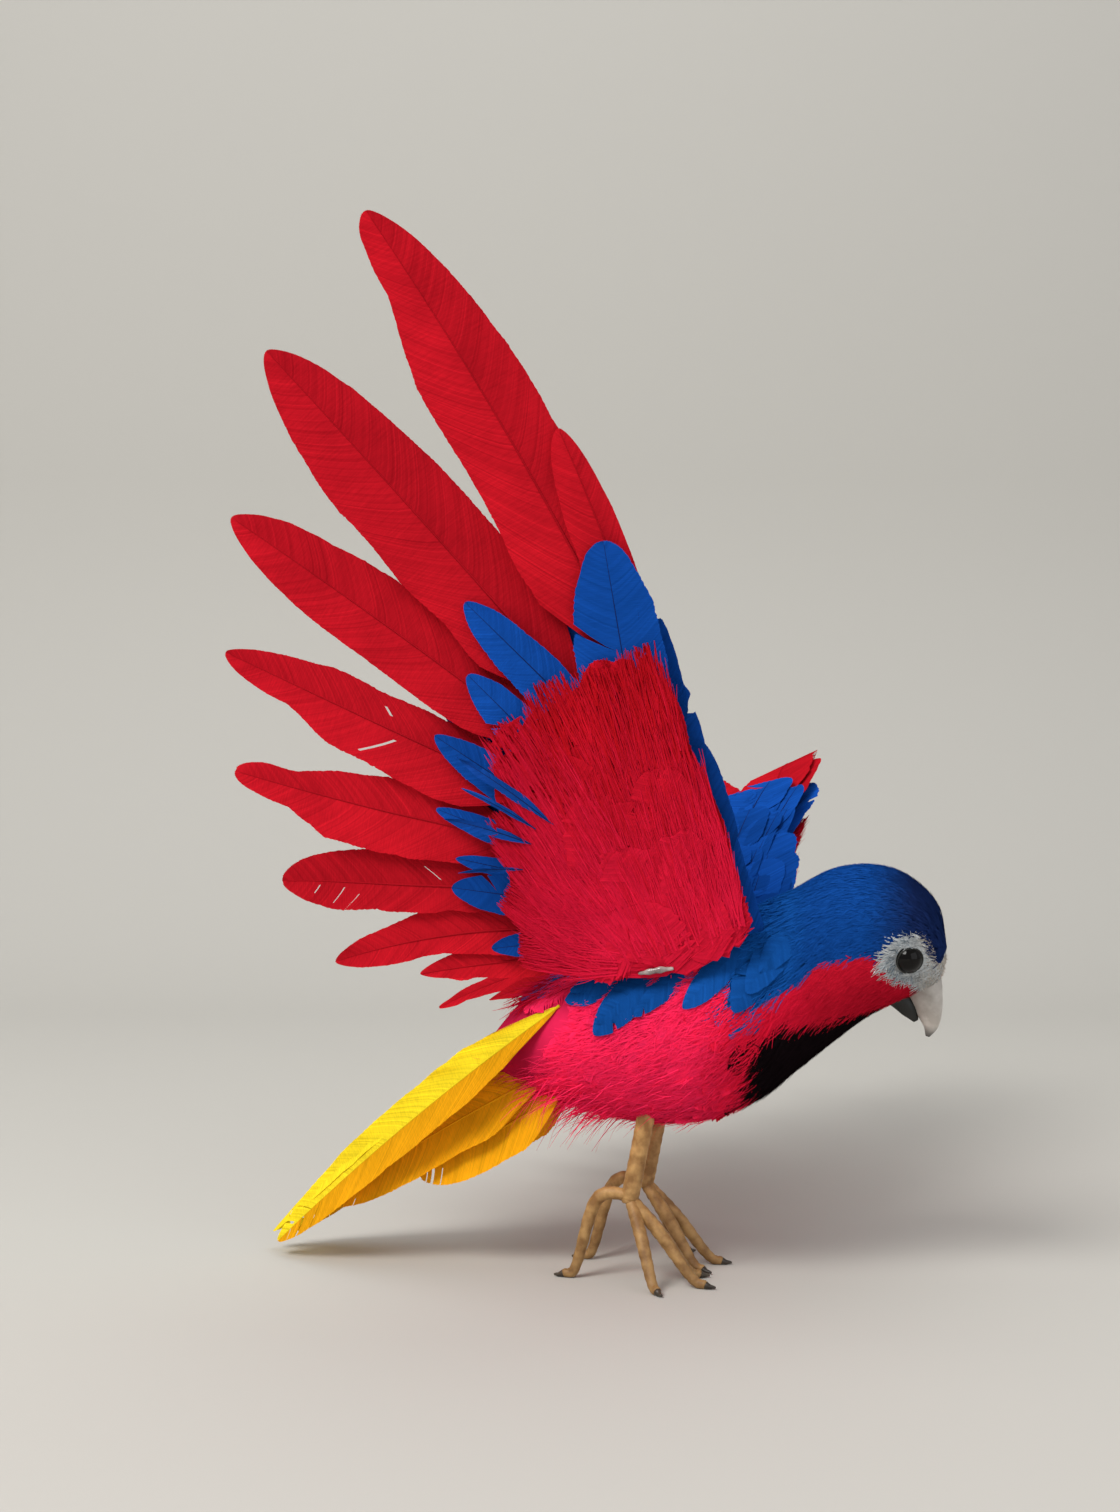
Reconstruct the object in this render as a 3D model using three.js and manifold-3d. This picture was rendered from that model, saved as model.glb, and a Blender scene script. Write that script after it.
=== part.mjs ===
// An artificial parrot: a foam body covered in dyed feathers, with two wings and a tail of real dyed
// feathers, glass-like eyes, a hooked bill and two wire legs. It stands on its toes with its right wing
// raised and its left wing spread.
//
// Millimetres. +X is the way the bird faces, +Y is its left, +Z is up. The origin is on the surface that
// it stands on, under the middle of its outline.
import * as THREE from "three";
import { mergeVertices } from "three/addons/utils/BufferGeometryUtils.js";
import Module from "manifold-3d";

const wasm = await Module();
wasm.setup();

// Gap left between two pieces that touch.
const CLEARANCE = 0.35;

// The body, from the tip of its rear cone to the forehead: top, underside and half width at each place.
const BODY = [
  { x: -35.5, top: 42, base: 38, half: 1.6 },
  { x: -31, top: 48.6, base: 36.8, half: 5 },
  { x: -25, top: 55, base: 35.6, half: 9 },
  { x: -17, top: 59.8, base: 34, half: 12.4 },
  { x: -8, top: 64, base: 31.8, half: 15 },
  { x: 2, top: 67.6, base: 30.8, half: 17 },
  { x: 12, top: 70.2, base: 31.8, half: 17.6 },
  { x: 21, top: 73, base: 35.6, half: 16.8 },
  { x: 29, top: 77, base: 41.6, half: 14.6 },
  { x: 36, top: 80.8, base: 47.4, half: 13 },
  { x: 43, top: 82, base: 52.8, half: 12.6 },
  { x: 49, top: 80.9, base: 56, half: 11.8 },
  { x: 54, top: 77.6, base: 58.4, half: 9.6 },
  { x: 57, top: 73.4, base: 60.6, half: 6.4 },
  { x: 58, top: 69, base: 64, half: 2.4 },
];
const BODY_ENDS = { tail: 0.8, brow: 0.5 }; // how far its two points lie beyond the table
const BODY_RINGS = 18;
const BODY_SIDES = 20;

// Eyes and bill. The upper bill's sections run from the forehead to the hook, with half sizes along and
// across the bird.
const EYE = { x: 51.6, z: 64.6, radius: 2.8, proud: 1.5 };
const UPPER_BILL = [
  { x: 52.4, z: 63, depth: 3, width: 2.8 },
  { x: 53.8, z: 60.4, depth: 3.4, width: 2.9 },
  { x: 54.2, z: 57.6, depth: 3.4, width: 2.7 },
  { x: 55, z: 54.2, depth: 2.6, width: 2.1 },
  { x: 55.3, z: 51.4, depth: 1.6, width: 1.3 },
  { x: 54.7, z: 49.1, depth: 0.4, width: 0.35 },
];
const LOWER_BILL = {
  path: [[47.4, 58], [49.8, 56], [51.4, 54], [52.5, 52]],
  radii: [2.4, 2.2, 1.7, 0.5],
  flatness: 1.1,
};

// Legs: wire shanks with four toes each, bent so that the toes' ends lie on the surface below.
const SHANK = {
  topX: 1.6,
  topZ: 37,
  ankleX: -2.4,
  ankleZ: 17,
  radiusTop: 1.85,
  radiusAnkle: 1.7,
  spacing: 15,
};
const TOE = { rootRadius: 1.35, endRadius: 0.75, lift: 0.45, sides: 6 };
const TOES = [
  { reach: 15.5, turn: -8, knee: 0.42, kneeZ: 0.56 },
  { reach: 14, turn: 24, knee: 0.42, kneeZ: 0.56 },
  { reach: 11.5, turn: -52, knee: 0.4, kneeZ: 0.58 },
  { reach: 13.5, turn: 180, knee: 0.5, kneeZ: 0.93 },
];

// A wing's feathers, in the wing's own plane: x forward, z outward along the wing from its root.
// lead and trail are the vane's widths on the two sides of the shaft, bow is how far the shaft curves.
const WING = {
  length: 150,
  shingle: 0.14, // slope of each long feather across its width, so that it lies over the next
  vane: 0.42, // thickness of a long feather at its shaft
  quill: 0.7,
  stations: 9,
};
// The form of a feather's end: the curve of its sides as they close, and how blunt the end itself is.
const POINTED = { curve: 2, end: 0.75 };
const ROUNDED = { curve: 2.4, end: 0.6 };
const BLUNT = { curve: 3, end: 0.5 };
const PRIMARIES = [
  { root: [5, 56], tip: [-10.5, 104.5], lead: 3.6, trail: 6, bow: 0.6 },
  { root: [4, 51], tip: [-42.6, 144.6], lead: 8.6, trail: 10.4, bow: 2 },
  { root: [-3, 45], tip: [-64.4, 121], lead: 9.4, trail: 10.8, bow: 0.3 },
  { root: [-9, 38.5], tip: [-75.2, 90.3], lead: 8.2, trail: 7.8, bow: 0.6 },
  { root: [-13, 31], tip: [-79.7, 63.8], lead: 6.6, trail: 7.8, bow: 0.3 },
  { root: [-15, 23], tip: [-80.3, 40.3], lead: 6, trail: 7, bow: 0 },
  { root: [-16, 15], tip: [-73, 15.4], lead: 6.8, trail: 5.4, bow: 1 },
  { root: [-16, 8], tip: [-63.4, 0.4], lead: 5, trail: 4.2, bow: 2 },
  { root: [-12, 2.5], tip: [-46, -2], lead: 3.8, trail: 3, bow: 0.6 },
];
const UNDER_COVERTS = {
  level: 2.25,
  thickness: 0.8,
  base: 0.8,
  stations: 5,
  tipForm: ROUNDED,
  feathers: [
    { root: [4, 38], tip: [2.4, 75], lead: 3, trail: 4.6 },
    { root: [2, 36], tip: [-3.1, 84], lead: 8.2, trail: 8.8 },
    { root: [0, 41], tip: [-30.2, 73.2], lead: 4.6, trail: 5 },
    { root: [-4, 30], tip: [-30.9, 59.2], lead: 4.4, trail: 5 },
    { root: [-6, 24.5], tip: [-38.4, 47.4], lead: 3.8, trail: 4.4 },
    { root: [-6, 19.5], tip: [-39.2, 32.8], lead: 2.4, trail: 2.8 },
    { root: [-7, 16.5], tip: [-36.2, 22.8], lead: 2, trail: 2.3 },
    { root: [-7, 13], tip: [-37.4, 16.8], lead: 4.2, trail: 4.4 },
    { root: [-3, 8], tip: [-30.2, 4.4], lead: 3.2, trail: 3 },
  ],
};
const LINING = {
  level: 4.3,
  thickness: 2.6,
  base: 0.6,
  stations: 4,
  tipForm: BLUNT,
  feathers: [
    { root: [18.5, 9], tip: [9.5, 44], lead: 4.2, trail: 9 },
    { root: [14.5, 6], tip: [3.4, 64], lead: 4.8, trail: 9.5 },
    { root: [10, 4], tip: [-5, 61], lead: 9.5, trail: 9.5 },
    { root: [6, 3], tip: [-15, 58.5], lead: 9.5, trail: 9.5 },
    { root: [2, 3], tip: [-25, 52], lead: 9.5, trail: 9.5 },
    { root: [-2, 3.5], tip: [-27.6, 37], lead: 8.5, trail: 8.5 },
    { root: [-4, 4], tip: [-28, 21], lead: 7.5, trail: 7.5 },
    { root: [-3, 5], tip: [-27, 8], lead: 6.5, trail: 6.5 },
  ],
};
const UPPER_COVERTS = {
  level: -2.85,
  thickness: 2,
  base: 0.6,
  stations: 4,
  tipForm: BLUNT,
  feathers: [
    { root: [20.5, 2], tip: [10, 47], lead: 4.2, trail: 9 },
    { root: [16, 0], tip: [2.6, 74], lead: 3.8, trail: 10 },
    { root: [12, -1], tip: [-9, 81], lead: 8.5, trail: 9.5 },
    { root: [8, -2], tip: [-25, 74], lead: 9.5, trail: 9.5 },
    { root: [4, -2], tip: [-36, 60], lead: 9, trail: 9 },
    { root: [0, -1], tip: [-40, 42], lead: 8.5, trail: 8.5 },
    { root: [-3, 0], tip: [-40, 23], lead: 8, trail: 8 },
    { root: [-2, 2], tip: [-34, 8], lead: 7, trail: 6 },
  ],
};
// How each wing is held: its lean from upright, its turn forward in its own plane, its turn about its own
// length, and where its root is. Its feathers bend towards the underside, by cup at a reach of WING.length
// and by the power given nearer the root.
const RIGHT_WING = { lean: 14, sweep: 0, twist: 0, root: [2, 13, 62], cup: 7, power: 2 };
const LEFT_WING = { lean: 56, sweep: 14, twist: -20.8, root: [-0.4, 13, 60], cup: 39, power: 2.7 };

// Tail feathers: root and tip in the bird's own frame, width, roll about the shaft and bow upwards. Those at
// the sides are rolled like the two halves of a roof.
const TAIL_VANE = 0.7;
const TAIL_BASE = 0.25; // share of the width at the root
const TAIL_TOP = { root: [-14, 0, 57.5], tip: [-82, 0, 5], width: 13, roll: 0, bow: 4 };
const TAIL_SIDE = [
  { name: "upper", root: [-16, -10.9, 54.2], tip: [-77.5, -5, 3], width: 13, roll: 48, bow: 1.4 },
  { name: "middle", root: [-18, -6.8, 41], tip: [-66.7, -5.3, 11.4], width: 13, roll: 68, bow: 1 },
  { name: "lower", root: [-17, -6.4, 36], tip: [-46.5, -5.5, 18], width: 12.5, roll: 72, bow: 0 },
];

// Blue feathers hanging over each side of the body. Each runs from one place to another, given as a place
// along the body and an angle round it from the top.
const MANTLE = {
  thickness: 1.1,
  feathers: [
    { from: [38, 40], to: [-10, 46], width: 8 },
    { from: [33, 36], to: [19.5, 86], width: 10.5 },
    { from: [24, 42], to: [10, 76], width: 6.5 },
    { from: [13, 44], to: [0.5, 77], width: 5 },
    { from: [5, 44], to: [-7.5, 85], width: 7.5 },
    { from: [-2, 42], to: [-14, 58], width: 6.5 },
  ],
};

const COLOURS = {
  red: 0xc0101f,
  pink: 0xe8204f,
  blue: 0x0f4a9a,
  yellow: 0xf2c21a,
  bill: 0xb4aca4,
  darkBill: 0x2a2a22,
  eye: 0x0a0605,
  wire: 0xa07840,
};

const radians = THREE.MathUtils.degToRad;

function material(color, roughness, metalness = 0) {
  return new THREE.MeshStandardMaterial({ color, roughness, metalness });
}

const MATERIALS = {
  red: material(COLOURS.red, 0.75),
  pink: material(COLOURS.pink, 0.85),
  blue: material(COLOURS.blue, 0.75),
  yellow: material(COLOURS.yellow, 0.75),
  bill: material(COLOURS.bill, 0.4),
  darkBill: material(COLOURS.darkBill, 0.5),
  eye: material(COLOURS.eye, 0.08),
  wire: material(COLOURS.wire, 0.6),
};

// A closed geometry through rings of equally many points. A first or last ring of one point is an apex.
function loft(rings) {
  const positions = [];
  const starts = rings.map((ring) => {
    const start = positions.length / 3;
    ring.forEach((p) => positions.push(p.x, p.y, p.z));
    return start;
  });
  const faces = [];
  for (let i = 0; i + 1 < rings.length; i++) {
    const count = Math.max(rings[i].length, rings[i + 1].length);
    for (let k = 0; k < count; k++) {
      const next = (k + 1) % count;
      const [a, b] = rings[i].length > 1 ? [starts[i] + k, starts[i] + next] : [starts[i], starts[i]];
      const [c, d] =
        rings[i + 1].length > 1 ? [starts[i + 1] + k, starts[i + 1] + next] : [starts[i + 1], starts[i + 1]];
      if (a !== b) faces.push(a, b, c);
      if (c !== d) faces.push(b, d, c);
    }
  }
  const cap = (ring, start, turned) => {
    for (let k = 1; k + 1 < ring.length; k++) {
      faces.push(...(turned ? [start, start + k, start + k + 1] : [start, start + k + 1, start + k]));
    }
  };
  cap(rings[0], starts[0], false);
  cap(rings.at(-1), starts.at(-1), true);
  const geometry = new THREE.BufferGeometry();
  geometry.setAttribute("position", new THREE.Float32BufferAttribute(positions, 3));
  geometry.setIndex(faces);
  return facingOut(geometry);
}

// Turns a closed geometry's faces round if they point inwards.
function facingOut(geometry) {
  const p = geometry.getAttribute("position");
  const index = geometry.index.array;
  const corners = [new THREE.Vector3(), new THREE.Vector3(), new THREE.Vector3()];
  let volume = 0;
  for (let i = 0; i < index.length; i += 3) {
    corners.forEach((corner, k) => corner.fromBufferAttribute(p, index[i + k]));
    volume += corners[0].dot(corners[1].clone().cross(corners[2]));
  }
  if (volume < 0) {
    for (let i = 0; i < index.length; i += 3) [index[i], index[i + 1]] = [index[i + 1], index[i]];
  }
  return geometry;
}

function toSolid(geometry) {
  const plain = geometry.clone();
  plain.deleteAttribute("normal");
  plain.deleteAttribute("uv");
  const merged = mergeVertices(plain, 1e-4);
  return new wasm.Manifold(
    new wasm.Mesh({
      numProp: 3,
      vertProperties: new Float32Array(merged.getAttribute("position").array),
      triVerts: new Uint32Array(merged.index.array),
    }),
  );
}

function toGeometry(solid) {
  const mesh = solid.getMesh();
  const geometry = new THREE.BufferGeometry();
  geometry.setAttribute("position", new THREE.BufferAttribute(mesh.vertProperties, 3));
  geometry.setIndex(new THREE.BufferAttribute(mesh.triVerts, 1));
  return geometry;
}

function union(geometries) {
  return geometries.map(toSolid).reduce((whole, solid) => whole.add(solid));
}

function meshOf(name, geometry, finish) {
  geometry.computeVertexNormals();
  const mesh = new THREE.Mesh(geometry, finish);
  mesh.name = name;
  return mesh;
}

// Smooth value of a key of the body's table at a place along it.
function bodyValue(key, x) {
  const last = BODY.length - 1;
  const clamped = THREE.MathUtils.clamp(x, BODY[0].x, BODY[last].x);
  const i = Math.min(last - 1, Math.max(0, BODY.findIndex((s) => s.x >= clamped) - 1));
  const [a, b] = [BODY[i], BODY[i + 1]];
  const before = BODY[Math.max(0, i - 1)];
  const after = BODY[Math.min(last, i + 2)];
  const slopeA = (b[key] - before[key]) / (b.x - before.x);
  const slopeB = (after[key] - a[key]) / (after.x - a.x);
  const span = b.x - a.x;
  const t = (clamped - a.x) / span;
  const [t2, t3] = [t * t, t * t * t];
  return (
    (2 * t3 - 3 * t2 + 1) * a[key] +
    (t3 - 2 * t2 + t) * span * slopeA +
    (3 * t2 - 2 * t3) * b[key] +
    (t3 - t2) * span * slopeB
  );
}

function middleAt(x) {
  return (bodyValue("top", x) + bodyValue("base", x)) / 2;
}

// A point of the body's surface, or outside it by offset. The angle is from the top, towards the left side.
function bodyPoint(x, angle, offset = 0) {
  const middle = middleAt(x);
  const half = bodyValue("half", x) + offset;
  const height = bodyValue("top", x) - middle + offset;
  return new THREE.Vector3(x, half * Math.sin(angle), middle + height * Math.cos(angle));
}

function bodyGeometry(grow = 0) {
  const [tail, brow] = [BODY[0].x, BODY.at(-1).x];
  const rings = [];
  for (let i = 0; i < BODY_RINGS; i++) {
    const share = (1 - Math.cos((Math.PI * i) / (BODY_RINGS - 1))) / 2;
    const even = i / (BODY_RINGS - 1);
    const x = THREE.MathUtils.lerp(tail, brow, (share + even) / 2);
    const ring = [];
    for (let k = 0; k < BODY_SIDES; k++) ring.push(bodyPoint(x, (2 * Math.PI * k) / BODY_SIDES, grow));
    rings.push(ring);
  }
  rings.unshift([new THREE.Vector3(tail - BODY_ENDS.tail - grow, 0, middleAt(tail))]);
  rings.push([new THREE.Vector3(brow + BODY_ENDS.brow + grow, 0, middleAt(brow))]);
  return loft(rings);
}

// The space of the body and a gap, and the same with the feathers that hang on its sides.
const bodySpace = toSolid(bodyGeometry(CLEARANCE));
const mantleSpace = toSolid(bodyGeometry(MANTLE.thickness + 2 * CLEARANCE));

// Share of a feather's full width at a share t of its length, from its share at the base to its tip.
function vaneShare(t, base, tipForm) {
  const rise = THREE.MathUtils.smoothstep(t, 0, 0.34);
  const past = Math.max(0, (t - 0.5) / 0.5);
  return (base + (1 - base) * rise) * Math.max(0, 1 - past ** tipForm.curve) ** tipForm.end;
}

// A feather's rings: a thin lens along a shaft. The functions give the shaft's points and the directions of
// its two sides and of its face. The stations lie closer towards the tip.
function featherRings({ stations, place, side, face, lead, trail, thickness, base, tipForm }) {
  const rings = [];
  for (let i = 0; i < stations; i++) {
    const t = Math.sin((Math.PI / 2) * (i / stations));
    const share = vaneShare(t, base, tipForm);
    const centre = place(t);
    const half = (thickness / 2) * Math.min(1, 2.2 * Math.sqrt(1 - t));
    rings.push([
      centre.clone().addScaledVector(side(t), lead * share),
      centre.clone().addScaledVector(face(t), half),
      centre.clone().addScaledVector(side(t), -trail * share),
      centre.clone().addScaledVector(face(t), -half),
    ]);
  }
  rings.push([place(1)]);
  return rings;
}

// A wing feather, lying in the wing's curved surface at a level towards the underside, which is -y here.
function wingFeather({ root, tip, lead, trail, bow = 0 }, form, { cup, power }) {
  const start = new THREE.Vector2(...root);
  const end = new THREE.Vector2(...tip);
  const along = end.clone().sub(start).normalize();
  const across = new THREE.Vector2(along.y, -along.x); // towards the leading edge
  const place = (t) => {
    const at = start.clone().lerp(end, t).addScaledVector(across, bow * 4 * t * (1 - t));
    return new THREE.Vector3(at.x, 0, at.y);
  };
  const rings = featherRings({
    ...form,
    place,
    side: () => new THREE.Vector3(across.x, form.shingle, across.y),
    face: () => new THREE.Vector3(0, 1, 0),
    lead,
    trail,
  });
  const bend = (p) => p.setY(p.y - form.level - cup * (Math.hypot(p.x, p.z) / WING.length) ** power);
  rings.forEach((ring) => ring.forEach(bend));
  return loft(rings);
}

// One side's wing: its long feathers one by one, and its other layers each glued into one piece.
function wing(side, held) {
  const name = side < 0 ? "right" : "left";
  const group = new THREE.Group();
  group.position.set(held.root[0], side * held.root[1], held.root[2]);
  group.rotation.set(radians(-side * held.lean), radians(held.sweep), radians(held.twist));
  group.scale.set(1, -side, 1);
  group.updateMatrix();
  const bodyHere = mantleSpace.transform(group.matrix.clone().invert().elements);

  PRIMARIES.forEach((feather, i) => {
    const base = WING.quill / (feather.lead + feather.trail);
    const { shingle, vane, stations } = WING;
    const form = { level: 0, thickness: vane, shingle, base, stations, tipForm: POINTED };
    group.add(meshOf(`${name}_primary_${i + 1}`, wingFeather(feather, form, held), MATERIALS.red));
  });
  const layer = (label, { feathers, ...form }, finish) => {
    const solid = union(feathers.map((feather) => wingFeather(feather, { ...form, shingle: 0 }, held)));
    group.add(meshOf(`${name}_${label}`, toGeometry(solid.subtract(bodyHere)), finish));
  };
  layer("under_coverts", UNDER_COVERTS, MATERIALS.blue);
  layer("wing_lining", LINING, MATERIALS.red);
  layer("upper_coverts", UPPER_COVERTS, MATERIALS.blue);
  return group;
}

// A round bar along a smooth path in one upright plane, closed at both ends.
function bar(points, radii, sides, flatness = 1) {
  const path = new THREE.CatmullRomCurve3(points);
  const steps = 2 * (points.length - 1);
  const across = new THREE.Vector3();
  const level = new THREE.Vector3(0, 0, 1);
  const rings = [];
  for (let i = 0; i <= steps; i++) {
    const t = i / steps;
    const centre = path.getPoint(t);
    const along = path.getTangent(t);
    across.crossVectors(along, level);
    if (across.lengthSq() < 1e-6) across.set(0, 1, 0);
    across.normalize();
    const up = new THREE.Vector3().crossVectors(across, along).normalize();
    const at = t * (radii.length - 1);
    const k = Math.min(radii.length - 2, Math.floor(at));
    const radius = THREE.MathUtils.lerp(radii[k], radii[k + 1], at - k);
    const ring = [];
    for (let j = 0; j < sides; j++) {
      const angle = (2 * Math.PI * j) / sides;
      ring.push(
        centre
          .clone()
          .addScaledVector(across, radius * flatness * Math.cos(angle))
          .addScaledVector(up, radius * Math.sin(angle)),
      );
    }
    rings.push(ring);
  }
  return loft(rings);
}

function leg(side) {
  const group = new THREE.Group();
  group.position.set(0, (side * SHANK.spacing) / 2, 0);
  const ankle = new THREE.Vector3(SHANK.ankleX, 0, SHANK.ankleZ);
  const top = new THREE.Vector3(SHANK.topX, 0, SHANK.topZ);
  const pieces = [bar([top, ankle], [SHANK.radiusTop, SHANK.radiusAnkle], 10)];
  for (const toe of TOES) {
    const angle = radians(side < 0 ? toe.turn : -toe.turn);
    const out = new THREE.Vector3(Math.cos(angle), Math.sin(angle), 0);
    const at = (reach, z) => ankle.clone().setZ(z).addScaledVector(out, reach);
    const points = [
      ankle.clone().addScaledVector(out, -0.6),
      at(toe.reach * toe.knee, SHANK.ankleZ * toe.kneeZ),
      at(toe.reach * 0.85, TOE.lift + 1),
      at(toe.reach + 2, TOE.lift),
    ];
    pieces.push(bar(points, [TOE.rootRadius, TOE.endRadius], TOE.sides));
  }
  const solid = union(pieces)
    .trimByPlane([0, 0, 1], 0)
    .subtract(bodySpace.translate([0, -group.position.y, 0]));
  group.add(meshOf(`${side < 0 ? "right" : "left"}_leg`, toGeometry(solid), MATERIALS.wire));
  return group;
}

function lowerBillBar(grow) {
  const { path, radii, flatness } = LOWER_BILL;
  return bar(path.map(([x, z]) => new THREE.Vector3(x, 0, z)), radii.map((r) => r + grow), 10, flatness);
}

function lowerBill() {
  return meshOf("lower_bill", toGeometry(toSolid(lowerBillBar(0)).subtract(bodySpace)), MATERIALS.darkBill);
}

function upperBill() {
  const sides = 12;
  const rings = UPPER_BILL.map(({ x, z, depth, width }) => {
    const ring = [];
    for (let k = 0; k < sides; k++) {
      const angle = (2 * Math.PI * k) / sides;
      ring.push(new THREE.Vector3(x + depth * Math.cos(angle), width * Math.sin(angle), z));
    }
    return ring;
  });
  const solid = toSolid(loft(rings)).subtract(bodySpace).subtract(toSolid(lowerBillBar(CLEARANCE)));
  return meshOf("upper_bill", toGeometry(solid), MATERIALS.bill);
}

function eye(side) {
  const middle = middleAt(EYE.x);
  const angle = Math.acos((EYE.z - middle) / (bodyValue("top", EYE.x) - middle));
  const seat = bodyPoint(EYE.x, side * angle, EYE.proud - EYE.radius);
  const ball = new THREE.SphereGeometry(EYE.radius, 12, 8).translate(seat.x, seat.y, seat.z);
  const name = side < 0 ? "right_eye" : "left_eye";
  return meshOf(name, toGeometry(toSolid(ball).subtract(bodySpace)), MATERIALS.eye);
}

function tailFeather(name, { root, tip, width, roll, bow }, side) {
  const start = new THREE.Vector3(root[0], -side * root[1], root[2]);
  const end = new THREE.Vector3(tip[0], -side * tip[1], tip[2]);
  const along = end.clone().sub(start).normalize();
  const across = new THREE.Vector3(0, 1, 0).applyAxisAngle(along, radians(side * roll));
  across.addScaledVector(along, -across.dot(along)).normalize();
  const face = new THREE.Vector3().crossVectors(along, across);
  const up = new THREE.Vector3(along.z, 0, -along.x).normalize();
  const rings = featherRings({
    stations: 8,
    place: (t) => start.clone().lerp(end, t).addScaledVector(up, bow * 4 * t * (1 - t)),
    side: () => across,
    face: () => face,
    lead: width / 2,
    trail: width / 2,
    thickness: TAIL_VANE,
    base: TAIL_BASE,
    tipForm: ROUNDED,
  });
  const solid = toSolid(loft(rings)).subtract(bodySpace);
  return meshOf(name, toGeometry(solid), MATERIALS.yellow);
}

// The feathers that hang over one side of the body, glued into one piece.
function mantle(side) {
  const stations = 4;
  const section = [[-1, 0], [1, 0], [1, 0.4], [0, 1], [-1, 0.4]];
  const lay = ({ from, to, width }) => {
    const around = (bodyValue("half", from[0]) + bodyValue("half", to[0])) / 2;
    const run = new THREE.Vector2(to[0] - from[0], radians(to[1] - from[1]) * around).normalize();
    const rings = [];
    for (let i = 0; i <= stations; i++) {
      const t = i / stations;
      const x = THREE.MathUtils.lerp(from[0], to[0], t);
      const angle = radians(THREE.MathUtils.lerp(from[1], to[1], t));
      const span = (width / 2) * Math.max(0.15, vaneShare(t, 0.5, BLUNT));
      const corner = ([edge, high]) => {
        const turned = angle - (span * edge * run.x) / around;
        return bodyPoint(x + span * edge * run.y, side * turned, CLEARANCE + high * MANTLE.thickness);
      };
      rings.push(section.map(corner));
    }
    return loft(rings);
  };
  const name = side < 0 ? "right_mantle" : "left_mantle";
  const solid = union(MANTLE.feathers.map(lay)).subtract(bodySpace);
  return meshOf(name, toGeometry(solid), MATERIALS.blue);
}

const parrot = new THREE.Group();
parrot.add(meshOf("body", bodyGeometry(), MATERIALS.pink));
parrot.add(upperBill());
parrot.add(lowerBill());
for (const side of [-1, 1]) {
  parrot.add(eye(side));
  parrot.add(leg(side));
  parrot.add(mantle(side));
}
parrot.add(wing(-1, RIGHT_WING));
parrot.add(wing(1, LEFT_WING));
parrot.add(tailFeather("tail_feather_top", TAIL_TOP, 1));
for (const feather of TAIL_SIDE) {
  parrot.add(tailFeather(`right_tail_feather_${feather.name}`, feather, -1));
  parrot.add(tailFeather(`left_tail_feather_${feather.name}`, feather, 1));
}

// The origin goes under the middle of the outline.
const outline = new THREE.Box3().setFromObject(parrot, true);
const centre = outline.getCenter(new THREE.Vector3());
parrot.position.set(-centre.x, -centre.y, -outline.min.z);

export default parrot;
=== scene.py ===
"""The looks of an artificial parrot: dyed feathers built barb by barb, small down feathers over the body,
glossy eyes, a hooked bill and painted wire legs, all laid on the solids of the part."""

import math

import bpy
import numpy as np
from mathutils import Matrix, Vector


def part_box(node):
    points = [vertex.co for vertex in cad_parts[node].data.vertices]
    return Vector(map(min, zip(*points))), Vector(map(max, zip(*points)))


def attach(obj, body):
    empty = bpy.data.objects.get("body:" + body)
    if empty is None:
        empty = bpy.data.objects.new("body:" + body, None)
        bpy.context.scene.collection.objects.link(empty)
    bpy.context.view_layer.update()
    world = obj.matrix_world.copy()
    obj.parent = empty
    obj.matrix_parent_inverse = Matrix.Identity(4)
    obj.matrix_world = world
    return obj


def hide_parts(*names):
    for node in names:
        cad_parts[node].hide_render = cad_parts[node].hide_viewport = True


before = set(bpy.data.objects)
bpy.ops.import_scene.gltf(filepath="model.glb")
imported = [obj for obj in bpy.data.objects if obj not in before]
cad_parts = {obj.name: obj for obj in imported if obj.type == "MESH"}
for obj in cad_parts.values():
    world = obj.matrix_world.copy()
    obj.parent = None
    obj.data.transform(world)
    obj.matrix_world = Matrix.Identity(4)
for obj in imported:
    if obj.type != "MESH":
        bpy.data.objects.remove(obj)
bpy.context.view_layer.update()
rng = np.random.default_rng(7)

MM = 0.001
# The camera's place in the part's own frame, mm, and how far the view is turned.
CAMERA_PLACE, VIEW_TURN = (79.30, -392.47, 103.3), math.radians(14)
SIDES = ((-1, "right"), (1, "left"))
# The part's own frame has its origin between the legs; this is where that is in the row frame.
body_low, body_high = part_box("body")
BODY_SOLID_FRONT = 58.5
ORIGIN = np.array([body_high[0] - BODY_SOLID_FRONT * MM, (body_low[1] + body_high[1]) / 2, 0.0])

# Shapes shared with the solids, in mm.

# Sections of the body: the place along it, its top, its underside and its half width.
BODY = np.array([(-35.5, 42, 38, 1.6), (-31, 48.6, 36.8, 5), (-25, 55, 35.6, 9), (-17, 59.8, 34, 12.4),
    (-8, 64, 31.8, 15), (2, 67.6, 30.8, 17), (12, 70.2, 31.8, 17.6), (21, 73, 35.6, 16.8),
    (29, 77, 41.6, 14.6), (36, 80.8, 47.4, 13), (43, 82, 52.8, 12.6), (49, 80.9, 56, 11.8),
    (54, 77.6, 58.4, 9.6), (57, 73.4, 60.6, 6.4), (58, 69, 64, 2.4)])
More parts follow.
